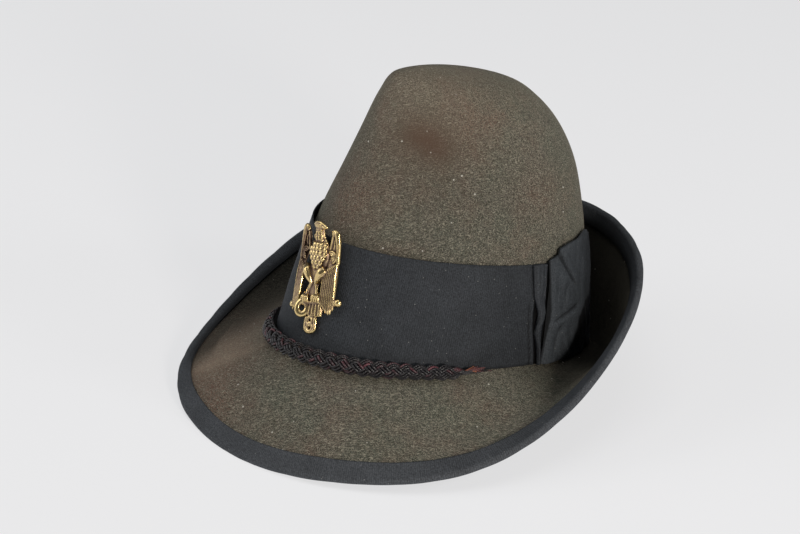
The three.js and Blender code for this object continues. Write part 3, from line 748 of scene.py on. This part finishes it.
# The bow's creases: each is a line over the face from one place to another by angle and height, with the
# depth of its valley in millimetres, its width in degrees, and how far the face stands higher beyond it.
bowCreases = [
    dict(start=(100.6, 1.09), end=(110.2, 0.78), depth=1.5, width=0.8, step=0.8),
    dict(start=(113.6, 0.535), end=(98.1, 0.42), depth=1.2, width=0.9, step=0.9),
    dict(start=(102.8, 0.4), end=(99.8, 0.03), depth=0.8, width=1.1, step=-0.5),
    dict(start=(100.2, 0.95), end=(101.1, 0.57), depth=0.35, width=1.0, step=0.0),
    dict(start=(104.8, 0.75), end=(105.4, 0.58), depth=0.6, width=0.8, step=0.15),
    dict(start=(115.5, 0.95), end=(116.5, 0.5), depth=0.5, width=1.4, step=0.3),
    dict(start=(121.0, 1.1), end=(122.5, 0.6), depth=0.6, width=1.6, step=0.0),
]
creaseForm = dict(  # what all creases share, in shares of their length, depth and width
    bend=0.5, opens=(-0.08, 0.16), closes=(1.15, -0.35), wide=1.4, narrowing=0.9, stepFade=5.0,
    lip=0.35, lipBeyond=2.2, lipWidth=1.6,
)
degreesTall = 40.0  # as many degrees round the band measure the same as its height


# A crease, from the distance past its line and the share of the way along it: a valley with a raised lip
# and a step beyond, which fade at its ends.
def creased(angle, height, fold):
    form, width = creaseForm, fold["width"]
    start, end = np.array(fold["start"]), np.array(fold["end"])
    way = (end - start) * [1, degreesTall]
    length = np.hypot(*way)
    right, up = angle - start[0], (height - start[1]) * degreesTall
    along = (right * way[0] + up * way[1]) / length**2
    bent = (up * way[0] - right * way[1]) / length + form["bend"] * np.sin(np.pi * np.clip(along, 0, 1))
    ends = ramp(along, *form["opens"]) * ramp(along, *form["closes"])
    narrowing = form["wide"] - form["narrowing"] * np.clip(along, 0, 1)
    valley = fold["depth"] * narrowing * bell(bent, width * narrowing)
    step = fold["step"] * ramp(bent, -width / 2, width) * bell(np.maximum(bent, 0), form["stepFade"])
    lip = form["lip"] * fold["depth"] * bell(bent - form["lipBeyond"] * width, form["lipWidth"] * width)
    return (step + lip - valley) * ends


bowFace = dict(  # heights in millimetres, and ramps by share across, angle or height
    roll=1.3, rollOver=(0, 0.05), sink=1.4, sinkFrom=(112, 20),
    close=1.5, closeAbove=(0.75, 0.35), closeFrom=(104, 16), foldsFrom=(0, 0.06),
    ridge=0.5, ridgeAngle=111.5, ridgeLean=8.0, ridgeFoot=0.7, ridgeWidth=2.2,
    ridgeMiddle=0.68, ridgeTall=0.16, crumple=0.5, fineCrumple=0.22,
)


# The bow's face: a roll at its near edge, its creases and a general crumple; its top lies close to the felt.
def bowStanding(s, h, angle):
    size = bowFace
    start = size["roll"] * ramp(s, *size["rollOver"]) - size["sink"] * ramp(angle, *size["sinkFrom"])
    start = start - size["close"] * ramp(h, *size["closeAbove"]) * ramp(angle, *size["closeFrom"])
    folds = sum(creased(angle, h, fold) for fold in bowCreases)
    fromRidge = angle - size["ridgeAngle"] - size["ridgeLean"] * (size["ridgeFoot"] - h)
    ridge = size["ridge"] * bell(fromRidge, size["ridgeWidth"])
    ridge = ridge * bell(h - size["ridgeMiddle"], size["ridgeTall"])
    crumple = size["crumple"] * ripple(angle / 10, h * 1.6, 14)
    crumple = crumple + size["fineCrumple"] * ripple(angle / 4, h * 2.6, 15)
    return start + (folds + ridge + crumple) * ramp(s, *size["foldsFrom"])


bowTop = dict(
    share=[0, 0.1, 0.112, 0.126, 0.22, 0.38, 0.48, 0.6, 0.75, 1],
    rise=[0.03, 0.08, 0.065, 0.145, 0.18, 0.2, 0.23, 0.25, 0.2, 0.05],
)


def bowRise(s):  # the bow's upper edge rises to the back, with a step where a fold ends
    return np.interp(s, bowTop["share"], bowTop["rise"])


knotObject = ribbonStrip("bow_knot", knot, knotStanding, knotRise, bandRibbon)
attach(knotObject, "root")
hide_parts("band_knot")

bowObject = ribbonStrip("bow_fold", bow, bowStanding, bowRise, bowRibbon)
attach(bowObject, "root")
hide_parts("band_bow")


# Edge binding

binding = dict(
    front=10.8, side=8.2, sideFrom=(-12, -30), sideTo=(-180, 40),  # reach in over the brim
    across=25.0, more=11.0, moreAngle=100.0, moreSpread=35.0,  # the ribbon's width
    thickness=0.8, wave=0.25, columns=600, rows=14, turn=9,
)
bindingShade = dict(  # shares of painted shade within the raised brim, with the ramps that bring them in
    left=0.9, leftFrom=(104, 24), leftOver=0.3, leftMore=0.6, leftMoreFrom=(112, 25),
    right=0.8, rightFrom=(-31, -13), rightOut=(0.1, 0.8),
)


# How far the ribbon reaches in over the brim: it is sewn on askew, narrower above on the wearer's right.
def bindingReach(angle):
    side = turned(angle)
    askew = ramp(side, *binding["sideFrom"]) * ramp(side, *binding["sideTo"])
    return binding["front"] + (binding["side"] - binding["front"]) * askew


def brimSkin(angle, distance):  # the brim's upper face by distance from the edge, and what is square to it
    points = brimFromEdge(angle, distance)
    normal = surfaceNormals(points)
    return points, normal * np.sign(normal[:1, :1, 2])


# The ribbon goes from its upper inner edge out to the rim, round the felt, and back beneath.
def bindingProfile(angle, offset):
    share = np.linspace(0, 1, binding["rows"])[None]
    reach = bindingReach(angle)[:, None]
    upper, normal = brimSkin(angle, reach * (1 - share))
    more = binding["more"] * bell(turned(angle)[:, None] - binding["moreAngle"], binding["moreSpread"])
    beneath = binding["across"] + more - reach
    lower, below = brimSkin(angle, beneath * share[:, ::-1])
    rim = unit(upper[:, -1] - upper[:, -2])
    middle = upper[:, -1] - normal[:, -1] * head["felt"] / 2
    turn = np.linspace(90, -90, binding["turn"] + 2)[1:-1]
    c, s = np.cos(np.radians(turn))[None, :, None], np.sin(np.radians(turn))[None, :, None]
    radius = head["felt"] / 2 + offset
    over = middle[:, None] + radius * (rim[:, None] * c + normal[:, -1:] * s)
    under = (lower - below * (head["felt"] + offset))[:, ::-1]
    return np.concatenate([upper + normal * offset, over, under], 1)


# A closed sheet round the brim's edge: an inner skin clear of the felt and an outer one with a slight wave.
def bindingPiece():
    angle = np.arange(binding["columns"]) * 360.0 / binding["columns"]
    wave = binding["wave"] * np.abs(ripple(angle[:, None, None] / 17, 0.0, 21))
    inner = bindingProfile(angle, head["gap"])
    outer = bindingProfile(angle, head["gap"] + binding["thickness"] + wave)
    points = np.concatenate([outer, inner[:, ::-1]], 1)
    points[..., 2] = np.maximum(points[..., 2], 0)
    nearRim = outer[:, binding["rows"] - 2]
    run = runLength(np.concatenate([nearRim, nearRim[:1]])[None])[0]
    across = runLength(outer[:1])[0]
    acrossBoth = np.concatenate([across, across[::-1], [0]])
    part = outwards(net(points, closedAcross=True, closedAlong=True, uAt=run, vAt=acrossBoth))
    dark, side = bindingShade, turned(angle)[:, None]
    share = np.linspace(0, 1, binding["rows"])[None]
    # painted shade on the ribbon's upper face within the raised brim, darkest at its inner edge
    over = dark["leftOver"] + dark["leftMore"] * ramp(side, *dark["leftMoreFrom"])
    left = dark["left"] * ramp(side, *dark["leftFrom"]) * (1 - ramp(share, 0, over))
    right = dark["right"] * ramp(side, *dark["rightFrom"]) * (1 - ramp(share, *dark["rightOut"]))
    clean = np.zeros((len(angle), points.shape[1] - binding["rows"]))
    print("binding run", run[-1], "across", across[-1])
    return makePiece("edge_ribbon", part, edgeRibbon, dict(paintedShade=np.concatenate([left + right, clean], 1)))


bindingObject = bindingPiece()
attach(bindingObject, "root")
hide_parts("edge_binding")


# Braid

# A flat four-strand plait of three cords a strand, laid round a core in the corner of band and brim.
braid = dict(
    radius=4.8, end=75.0, taper=9.0, tip=0.22,  # as in the part
    wide=4.0, deep=1.05, pitch=30.0, cord=0.76, apart=1.65, wrap=4.1, face=28.0, core=2.8,
    stations=280, sides=6, samples=900,
)
braidEnds = dict(  # how much slimmer it gets towards each end and where it is drawn in, by angle
    right=0.25, rightFrom=(-20, -24), rightDrawn=0.75, rightDrawnFrom=(-42, -10),
    left=0.12, leftFrom=(26, 26), leftDrawn=0.5, leftDrawnFrom=(60, 6),
)
braidSeat = dict(  # how much nearer the corner it lies at the sides, and how much further in front, in mm
    right=4.0, rightFrom=(-4, -42), left=1.5, leftFrom=(26, 26),
    front=0.8, frontAngle=-2.0, frontSpread=14.0,
)
fading = dict(
    seed=6, count=90, first=0.12, strength=(0.35, 1.0), spread=(2.5, 5),
    burnt=0.9, burntEnd=9, burntSpread=7,
)
fray = dict(
    count=14, stations=12, sides=4, radius=0.2, start=(13, 18), reach=(3, 11), dyed=0.7,
    out=1.5, spread=(-0.3, 1.0), up=1.8, droop=0.1, stray=4.5,
)


def braidSlim(angle):  # full in front, slimmer towards its drawn-in ends
    ends = braidEnds
    drawnIn = 1 - ends["rightDrawn"] * ramp(angle, *ends["rightDrawnFrom"])
    drawnIn = drawnIn * (1 - ends["leftDrawn"] * ramp(angle, *ends["leftDrawnFrom"]))
    slim = 1 - ends["right"] * ramp(angle, *ends["rightFrom"])
    slim = slim - ends["left"] * ramp(angle, *ends["leftFrom"])
    return slim * drawnIn


def braidFrame(angle):  # the core's middle, and the directions away from the band and up
    seat = braidSeat
    nearer = seat["right"] * ramp(angle, *seat["rightFrom"]) + seat["left"] * ramp(angle, *seat["leftFrom"])
    further = seat["front"] * bell(angle - seat["frontAngle"], seat["frontSpread"])
    clear = braid["radius"] + 3 * head["gap"] - nearer + further
    slope = np.radians(brimAt("inner", angle))
    middle = breakPoint(angle) + brimDirection(angle) * clear[..., None]
    middle[..., 2] += clear * np.tan(slope) + clear / np.cos(slope)
    return middle, brimDirection(angle), np.broadcast_to([0.0, 0.0, 1.0], middle.shape)


# Each strand weaves from side to side as a cosine and in and out three times as fast, a quarter turn after
# the last; its cords lie side by side, square to its run.
def braidPiece():
    size = braid
    angle = np.linspace(-size["end"], size["end"], size["samples"])
    run = runLength(braidFrame(angle)[0][None])[0]
    length = run[-1]
    s = np.linspace(0, length, size["stations"])[None]
    strandOf, cordOf = np.repeat(np.arange(4), 3)[:, None], np.tile([-1, 0, 1], 4)[:, None]
    phase = 2 * np.pi * s / size["pitch"] + strandOf * np.pi / 2
    taper = length * size["taper"] / (2 * size["end"])
    slim = size["tip"] + (1 - size["tip"]) * ramp(np.minimum(s, length - s), 0, taper)
    slim = slim * braidSlim(np.interp(s, run, angle))
    across = size["wide"] * np.cos(phase)
    slope = -size["wide"] * np.sin(phase) * 2 * np.pi / size["pitch"]
    offset = cordOf * size["apart"] * slim / np.hypot(1, slope)
    place = np.clip(s - offset * slope, 0, length)
    lateral = (across + offset / slim) * slim
    depth = -size["deep"] * np.sin(3 * phase) * slim
    middle, out, up = braidFrame(np.interp(place, run, angle))
    facing = np.radians(size["face"]) + lateral / size["wrap"]
    rim = out * np.cos(facing)[..., None] + up * np.sin(facing)[..., None]
    path = middle + rim * (size["wrap"] * slim + depth)[..., None]
    heading = unit(np.gradient(path, axis=1))
    side = unit(np.cross(rim, heading))
    thick = size["cord"] * (0.3 + 0.7 * slim)[..., None]
    cords = tubes(path, side * thick, np.cross(heading, side) * thick, size["sides"])
    coreMiddle, coreOut, coreUp = (values[None] for values in braidFrame(np.interp(s[0], run, angle)))
    slimCore = size["core"] * slim[..., None]
    core = tubes(coreMiddle, coreOut * slimCore, coreUp * slimCore, 2 * size["sides"])
    draw = np.random.default_rng(fading["seed"])
    faded = np.zeros(path.shape[:2])
    for k in range(fading["count"]):  # short faded lengths, more of them towards the wearer's right
        centre = length * (fading["first"] + (1 - fading["first"]) * draw.uniform(0, 1) ** 2.0)
        which, strength = draw.integers(len(path)), draw.uniform(*fading["strength"])
        faded[which] += strength * bell(s[0] - centre, draw.uniform(*fading["spread"]))
    burnt = fading["burnt"] * bell(s - length + fading["burntEnd"], fading["burntSpread"])
    burnt = burnt * ((strandOf == 1) & (cordOf == 0))
    start = draw.uniform(*fray["start"], (fray["count"], 1))  # torn threads where the left end is drawn in
    share = np.linspace(0, 1, fray["stations"])[None]
    reach = draw.uniform(*fray["reach"], start.shape) * share
    threadMiddle, threadOut, threadUp = braidFrame(np.interp(length - start + reach, run, angle))
    outward = fray["out"] + draw.uniform(*fray["spread"], start.shape) * share
    stray = fray["stray"] * draw.uniform(0, 1, start.shape) ** 3 * share
    upward = fray["up"] - fray["droop"] * reach + stray
    threads = threadMiddle + threadOut * outward[..., None] + threadUp * upward[..., None]
    ahead = unit(np.gradient(threads, axis=1))
    aside = unit(np.cross(threadUp, ahead)) * fray["radius"]
    frays = tubes(threads, aside, np.cross(ahead, aside), fray["sides"])
    dyed = np.repeat(fray["dyed"] * draw.uniform(0, 1, fray["count"]) ** 2, fray["stations"] * fray["sides"])
    part = joined([outwards(cords), outwards(core), outwards(frays)])
    under = ramp(depth / (size["deep"] * slim), 0.3, -1.1)  # painted shade where a cord dives below the others
    plain = np.zeros(len(core["points"]))
    # the core, seen only in the gaps, is painted in full shade
    paint = dict(
        red=(faded, plain, 0 * dyed + 1), orange=(burnt, plain, dyed), sunk=(under, plain + 1, 0 * dyed))
    for key, (onCords, onCore, onFrays) in paint.items():
        around = np.repeat(np.clip(onCords, 0, 1).ravel(), size["sides"])
        paint[key] = np.concatenate([around, onCore, onFrays])
    print("braid length", length)
    return makePiece("plaited_cord", part, cordThread, paint)


braidObject = braidPiece()
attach(braidObject, "root")
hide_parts("braid")


# Badge

# A spread eagle on a perch, cast in one. It is drawn flat, x across, y up and z out of its back,
# as rounded strands and pebbles that are fused into one skin and then laid on the band.
badge = dict(
    angle=-0.7, foot=8.0, height=62.0, turn=10.0, bend=90.0, lean=2.5, voxel=0.27,
    paintedShadeMarks=[(-9, 52, 6, 0.3), (-14, 42, 8, 0.35), (-15, 28, 7, 0.15), (11.5, 28, 6, 0.14), (4, 37, 5, 0.1)],
    depth=dict(level=0.45, fine=2.2, broad=0.55, proud=0.05, middle=1.5),  # what counts as hollow
)


def onBand(flat):  # turned askew, leaned out at the top and bent round the crown's front
    middle, turn = badge["height"] / 2, np.radians(badge["turn"])
    x, y = flat[:, 0], flat[:, 1] - middle
    sideways, upward = x * np.cos(turn) - y * np.sin(turn), x * np.sin(turn) + y * np.cos(turn)
    height = (badge["foot"] + middle + upward) / bandRise
    stand = layGap + badge["lean"] * (0.5 + upward / badge["height"]) ** 2
    angle = np.full(len(flat), badge["angle"])
    along = unit(overBand(angle + 1, height, stand) - overBand(angle - 1, height, stand))
    out = crownNormal(angle, bandRow * height)
    proud = flat[:, 2] - sideways**2 / (2 * badge["bend"])
    return overBand(angle, height, stand) + along * sideways[:, None] + out * proud[:, None]


# A strand runs smoothly through its points; its half width and half height go through the given values.
def strand(path, wide, tall, stations=24):
    path = np.array(path, float)
    t = np.linspace(0, len(path) - 1, stations)
    index = np.minimum(t.astype(int), len(path) - 2)
    padded = np.concatenate([2 * path[:1] - path[1:2], path, 2 * path[-1:] - path[-2:-1]])
    curve = between(*(padded[index + k] for k in range(4)), (t - index)[:, None])
    share = t / t[-1]
    ends = np.sqrt(np.clip(1 - np.clip((np.abs(2 * share - 1) - 0.88) / 0.12, 0, 1) ** 2, 0.03, 1))
    width = np.interp(share, np.linspace(0, 1, len(wide)), wide) * ends
    height = np.interp(share, np.linspace(0, 1, len(tall)), tall) * ends
    heading = np.gradient(curve, axis=0)
    side = unit(np.stack([heading[:, 1], -heading[:, 0], 0 * heading[:, 0]], -1))
    return tubes(curve[None], (side * width[:, None])[None], (height[:, None] * [0, 0, 1])[None], 12)


def pebbles(rows):  # ellipsoids: x, y, z, half across, half along, half out, turn in degrees
    rows = np.array(rows, float)
    rise, turn = np.radians(np.linspace(-86, 86, 11)), np.radians(rows[:, 6:7])
    along = np.stack([-np.sin(turn), np.cos(turn), 0 * turn], -1)
    side = np.stack([np.cos(turn), np.sin(turn), 0 * turn], -1)
    path = rows[:, None, :3] + along * (rows[:, 4:5] * np.sin(rise))[..., None]
    upward = np.array([0, 0, 1.0]) * (rows[:, 5:6] * np.cos(rise))[..., None]
    return tubes(path, side * (rows[:, 3:4] * np.cos(rise))[..., None], upward, 14)


def ringOf(x, y, z, radius, wide, tall, tilt=0.0):  # an eyelet, tilted about its upright
    turn = np.radians(np.linspace(0, 372, 40))
    c, s = np.cos(np.radians(tilt)), np.sin(np.radians(tilt))
    side = np.stack([np.cos(turn) * c, np.sin(turn), -np.cos(turn) * s], -1)
    upward = np.broadcast_to(np.array([s, 0, c]) * tall, (1, *side.shape))
    return tubes(([x, y, z] + radius * side)[None], side[None] * wide, upward, 12)


# A wing: a plate, the blade along its outer edge, two inner ribs, the curl, and the long feathers, whose
# tips make a slanting point. The wing on the bird's own left is on the viewer's right: side 1.
def wing(side, inner, feathers):
    m = np.array([side, 1, 1.0])
    middle = (inner + 17.4) / 2
    plate = [(13.4, 56.5, 0.7), (13.2, 47, 0.8), (middle + 0.2, 38, 1.0), (middle, 27, 1.3),
             (middle + 0.8, 15.5, 1.3), (middle + 2.2, 12, 1.2)]
    plateWide = [2.4, 4.4, 17.2 - middle, 17.2 - middle, 16.2 - middle, 0.6]
    blade = [(12.4, 54.2, 1.4), (13.9, 57.0, 1.7), (15.9, 56.0, 1.9), (16.9, 51, 1.9), (17.1, 45, 1.8),
             (17.3, 38, 1.7)]
    ribs = [(12.2, 54.6, 1.2), (11.4, 52, 1.2), (10.2, 47.5, 1.2), (9.2, 44, 1.2)]
    shortRib = [(13.6, 52.5, 1.1), (13.6, 49.5, 1.2), (12.6, 46.4, 1.1)]
    parts = [
        strand(m * plate, plateWide, [0.8, 0.8, 1.4, 1.4]),
        strand(m * blade, [1.4, 2.1, 2.2, 1.7, 1.2, 0.9], [1.3, 1.6, 1.7, 1.7, 1.5, 1.3]),
        strand(m * ribs, [0.8, 0.8, 0.8, 0.6], [1.2, 1.2]),
        strand(m * shortRib, [0.6, 0.8, 0.5], [0.9, 1.1, 0.8]),
    ]
    turn = np.radians(np.linspace(150, -95, 7))
    for k, radius in enumerate((3.3, 2.1, 1.0)):  # the curl where the feathers spring from the wing's arm
        x, y = 12.4 + radius * np.cos(turn), 42.3 + radius * np.sin(turn)
        arc = np.stack([x, y, 1.7 + 0.25 * k + 0 * turn], -1)
        parts.append(strand(m * arc, [0.45, 0.6, 0.45], [1.1, 1.4, 1.0]))
    for k in range(feathers):
        share = k / (feathers - 1)
        x = inner + (17.0 - inner) * share
        end = 15.7 - 5.0 * min(share / 0.8, 1) + 3.2 * max(share - 0.8, 0) / 0.2
        tall = [1.2, 1.35 + 0.5 * (k == feathers - 1), 1.3, 0.9]  # the outermost stands higher
        path = [(x, 35 + 5 * share, 1.7), (x + 0.1, 27, 2.1), (x + 0.2, end, 2.1)]
        parts.append(strand(m * path, [0.5, 0.72, 0.72, 0.45], tall))
    return parts


def foot(x, y):  # four toes over the perch
    reach = np.array([-2.7, -0.9, 0.9, 2.7])
    return [strand([(x + 0.3 * r, y + 1.6, 1.8), (x + 0.9 * r, y - 0.6, 3.6), (x + 1.1 * r, y - 3.4, 2.9)],
                   [0.8, 0.8, 0.4], [0.9, 0.8, 0.5]) for r in reach]


def chestScales():  # rows of overlapping scales on the rounded breast: height, middle and how many
    rows = []
    scaleRows = ((47.3, 2.9, 4), (45.0, 1.4, 5), (42.6, 1.5, 5),
                 (40.2, 1.4, 4), (37.9, 1.5, 3), (35.8, 1.5, 2))
    for y, middle, count in scaleRows:
        x = middle + (np.arange(count) - (count - 1) / 2) * 3.1
        bulge = np.sqrt(np.clip(1 - ((x - 1.2) / 9.2) ** 2 - ((y - 43) / 11) ** 2, 0.05, 1))
        rows += [(xx, y, 1.7 + 2.9 * b, 1.72, 1.7, 0.95, 0) for xx, b in zip(x, bulge)]
    return pebbles(rows)


# The bird's rounded masses, then the feathers of its neck.
eaglePebbles = [
    (1.2, 43, 1.4, 8.4, 10.5, 2.6, 0), (-0.4, 33, 1.1, 8, 7, 1.7, 0),  # breast and belly
    (-0.8, 59.1, 1.9, 4.9, 2.7, 2.1, -4), (1.8, 59.8, 3.6, 0.75, 0.65, 0.6, 0),  # head and eye
    (20.4, 18.9, 1.9, 2.1, 2.2, 1.9, 0), (18.3, 18.6, 1.7, 0.8, 2.0, 1.7, 0),  # the perch's ends
    (-18.6, 14.2, 1.6, 1.8, 1.9, 1.6, 0),
    (3.4, 50.7, 3.2, 1.0, 1.5, 0.7, 8), (3.3, 53.2, 3.2, 1.0, 1.5, 0.7, 4),
    (2.9, 55.8, 3.2, 1.0, 1.4, 0.7, 0), (1.0, 51.7, 3.5, 0.9, 1.5, 0.6, 0),
    (0.9, 54.4, 3.5, 0.9, 1.5, 0.6, 0), (-1.5, 51.4, 3.4, 0.9, 1.5, 0.6, 0),
    (-1.5, 54.2, 3.4, 0.9, 1.5, 0.6, 0), (-3.6, 52.4, 2.8, 0.9, 1.5, 0.6, -6),
]
eagleStrands = [
    # neck, brow, and the beak's two halves
    dict(path=[(0.7, 48.5, 1.6), (0.2, 53, 1.7), (-0.3, 57.5, 1.8)],
         wide=[5.6, 4.8, 4.2], tall=[2.0, 1.9, 1.9]),
    dict(path=[(-5.6, 59.2, 2.2), (-2, 61, 2.5), (2, 61, 2.5), (6.6, 59.5, 2)],
         wide=[0.7, 1.0, 1.0, 0.5], tall=[0.9, 1.2, 1.1, 0.6]),
    dict(path=[(2, 58.9, 2), (4.8, 58.4, 2), (6.2, 58.7, 1.8)], wide=[1.3, 0.9, 0.4], tall=[1.4, 1.0, 0.5]),
    dict(path=[(4.4, 59.8, 2), (6.5, 59.4, 2), (7, 58, 1.8)], wide=[1.0, 0.7, 0.3], tall=[1.0, 0.8, 0.4]),
    # collar, thighs and shanks
    dict(path=[(-6, 49.4, 1.8), (-2.4, 48.5, 3.5), (1.4, 48.3, 4.0), (5, 48.8, 3.6), (8.2, 49.8, 1.8)],
         wide=[0.6, 0.7, 0.6], tall=[0.7, 0.75, 0.7]),
    dict(path=[(-10.4, 35.6, 1.8), (-7.4, 33, 2.7), (-4.2, 29.2, 2.5), (-2, 26, 1.9)],
         wide=[2.6, 3.2, 2.2, 0.6], tall=[2.2, 3.2, 2.4, 0.8]),
    dict(path=[(8.6, 35.4, 1.8), (5.9, 32.8, 2.7), (2.9, 29.2, 2.5), (0.9, 26, 1.9)],
         wide=[2.6, 3.2, 2.2, 0.6], tall=[2.2, 3.2, 2.4, 0.8]),
    dict(path=[(-2.6, 27, 1.7), (-4.6, 23.6, 1.6), (-5.4, 20.4, 1.9)],
         wide=[1.2, 1.2, 1.2], tall=[1.1, 1.0, 1.1]),
    dict(path=[(1.2, 27, 1.7), (2.6, 23.8, 1.6), (3.4, 20.8, 1.9)],
         wide=[1.0, 1.0, 1.1], tall=[1.1, 1.0, 1.1]),
    # tail, the web behind the feet, and the perch
    dict(path=[(-0.7, 31, 0.9), (-0.8, 18, 0.9)], wide=[5.0, 3.6, 5.4], tall=[1.0, 0.9]),
    dict(path=[(-9.5, 20.5, 0.8), (0, 20, 0.9), (8, 21, 0.8)], wide=[1.6, 2.0, 1.6], tall=[0.8, 0.8]),
    dict(path=[(-18.4, 14.2, 1.2), (0, 16.8, 1.4), (18.4, 18.6, 1.4)],
         wide=[1.2, 1.25, 1.2], tall=[1.1, 1.2, 1.2]),
    # the plate under the perch, and the bow round its foot
    dict(path=[(3, 17, 0.6), (3.4, 9.4, 0.6)], wide=[5.2, 5.6], tall=[0.6, 0.6]),
    dict(path=[(-2.7, 9.2, 1), (-2.9, 6, 1), (-2.1, 2.4, 1), (1.2, 1.1, 1), (4.6, 2.4, 1), (4.7, 6, 1),
               (4.2, 9.4, 1)],
         wide=[1.2, 1.2], tall=[1.0, 1.0], stations=40),
]
perchStaves = [(-1.2, 9.7), (1.6, 9.3), (4.6, 9.3), (7.4, 9.7)]  # staves under the perch: x and end


def eagleParts():
    body = [pebbles(eaglePebbles), chestScales()] + [strand(**row) for row in eagleStrands]
    body += [ringOf(-7, 13.1, 2.4, 3.4, 1.9, 1.3, 25), ringOf(0.4, 6.9, 1.1, 2.2, 1.15, 1.0),
             ringOf(1.2, 3.7, 1.1, 2.2, 1.15, 1.0)]
    for x, y in perchStaves:
        body.append(strand([(x * 0.85, 16.2, 1.1), (x, y, 1.1)], [1.2, 1.35], [1.1, 1.2]))
    return body + foot(-5.2, 19.3) + foot(3.9, 20.2) + wing(1, 7.4, 8) + wing(-1, 11.6, 6)


# The parts' common skin, from a remesh at the voxel size.
def fused(parts, name):
    mesh = bpy.data.meshes.new(name)
    whole = joined([outwards(part) for part in parts])
    mesh.from_pydata(whole["points"], [], faceList(whole))
    rough = linked(name, mesh)
    remesh = rough.modifiers.new("skin", "REMESH")
    remesh.mode = "VOXEL"
    remesh.voxel_size = badge["voxel"]
    skin = rough.evaluated_get(bpy.context.evaluated_depsgraph_get()).to_mesh()
    points = np.empty(len(skin.vertices) * 3)
    skin.vertices.foreach_get("co", points)
    corners = np.empty(len(skin.loops), int)
    skin.loops.foreach_get("vertex_index", corners)
    bpy.data.objects.remove(rough)
    bpy.data.meshes.remove(mesh)
    return points.reshape(-1, 3), corners.reshape(-1, 4)


def eased(points, edges, rounds, share=0.6):  # each point moves towards the mean of its neighbours
    count = np.bincount(edges.ravel(), minlength=len(points))[:, None]
    for step in range(rounds):
        total = np.zeros_like(points)
        np.add.at(total, edges[:, 0], points[edges[:, 1]])
        np.add.at(total, edges[:, 1], points[edges[:, 0]])
        points = points + share * (total / count - points)
    return points


# The skin is eased, and how hollow each point is comes from how far it would move if eased further, with
# painted shade added on the bird's own right side; then it is laid on the band.
def badgePiece():
    points, quads = fused(eagleParts(), "eagle")
    sides = np.concatenate([quads[:, [k, (k + 1) % 4]] for k in range(4)])
    edges = np.unique(np.sort(sides, axis=1), axis=0)
    points = eased(points, edges, 2, 0.5)
    normal = np.zeros_like(points)
    face = np.cross(points[quads[:, 2]] - points[quads[:, 0]], points[quads[:, 3]] - points[quads[:, 1]])
    for k in range(4):
        np.add.at(normal, quads[:, k], face)
    normal = unit(normal)
    fine, broad = (((eased(points, edges, rounds) - points) * normal).sum(-1) for rounds in (8, 60))
    depth = badge["depth"]
    proud = depth["proud"] * (points[:, 2] - depth["middle"])
    patinaAndShade = np.clip(depth["level"] + depth["fine"] * fine + depth["broad"] * broad - proud, 0, 1)
    # painted shade: the bird's own right side and a few spots are darkened as if in shade
    for x, y, spread, strength in badge["paintedShadeMarks"]:
        away = np.hypot(points[:, 0] - x, points[:, 1] - y)
        patinaAndShade = np.clip(patinaAndShade + strength * bell(away, spread), 0, 1)
    points[:, 2] = np.maximum(points[:, 2], 0)
    part = dict(points=onBand(points), quads=quads, uv=np.zeros((len(quads), 4, 2)), caps=[])
    return makePiece("brass_eagle", outwards(part), brass, dict(patinaAndShade=patinaAndShade))


badgeObject = badgePiece()
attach(badgeObject, "root")
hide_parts("eagle_badge")


# Stage: floor, light and camera

floorMaterial, tree = newMaterial("matt paper floor")
shader = addNode(tree, "BsdfPrincipled", {  # lit from beneath as well, so that shadows stay pale
    "Base Color": srgb("#8e8f91"), "Roughness": 0.9, "Specular IOR Level": 0.1,
    "Emission Color": srgb("#d0d0d1"), "Emission Strength": 1.0,
})
addNode(tree, "OutputMaterial", {"Surface": shader.outputs[0]})
floorMesh = bpy.data.meshes.new("floor")
floorMesh.from_pydata([(-8, -8, 0), (8, -8, 0), (8, 8, 0), (-8, 8, 0)], [], [(0, 1, 2, 3)])
floorMesh.materials.append(floorMaterial)
floor = linked("floor", floorMesh)

view = dict(
    target=(-11.9, 3.1, 69.6), azimuth=50.0, elevation=24.1, roll=-0.88, distance=1261.75,  # mm and degrees
    lens=92.4, sensor=36.0, farthest=50,
)


def lookFrom(azimuth, elevation, distance, target):  # place and turning of what looks at a target
    a, e = np.radians(azimuth), np.radians(elevation)
    away = Vector((np.cos(e) * np.sin(a), -np.cos(e) * np.cos(a), np.sin(e)))
    place = Vector(target) * mm + away * distance * mm
    return Matrix.Translation(place) @ away.to_track_quat("Z", "Y").to_matrix().to_4x4()


cameraData = bpy.data.cameras.new("camera")
cameraData.lens = view["lens"]
cameraData.sensor_width = view["sensor"]
cameraData.clip_end = view["farthest"]
camera = linked("camera", cameraData)
camera.matrix_world = lookFrom(view["azimuth"], view["elevation"], view["distance"], view["target"])
camera.matrix_world = camera.matrix_world @ Matrix.Rotation(np.radians(view["roll"]), 4, "Z")
bpy.context.scene.camera = camera

lampTarget = (0, 0, 80)
lamps = [  # a low softbox on the camera's right, a weak one behind it, large ones on the left and above
    dict(name="key", azimuth=72, elevation=15, distance=2000, size=280, watts=23, colour="#fff6ec"),
    dict(name="side", azimuth=114, elevation=29, distance=2000, size=450, watts=6.5, colour="#ffffff"),
    dict(name="fill", azimuth=-42, elevation=28, distance=2200, size=1600, watts=16, colour="#ffffff"),
    dict(name="top", azimuth=20, elevation=80, distance=2200, size=1500, watts=10, colour="#ffffff"),
]
for lamp in lamps:
    data = bpy.data.lights.new(lamp["name"], "AREA")
    data.size = lamp["size"] * mm
    data.energy = lamp["watts"]
    data.color = srgb(lamp["colour"])[:3]
    lampObject = linked(lamp["name"], data)
    lampObject.matrix_world = lookFrom(lamp["azimuth"], lamp["elevation"], lamp["distance"], lampTarget)

world = bpy.data.worlds.new("studio")
bpy.context.scene.world = world
world.use_nodes = True
world.node_tree.nodes["Background"].inputs["Color"].default_value = srgb("#f6f6f6")
world.node_tree.nodes["Background"].inputs["Strength"].default_value = 0.1
bpy.context.scene.view_settings.view_transform = "Standard"
print("stage set")
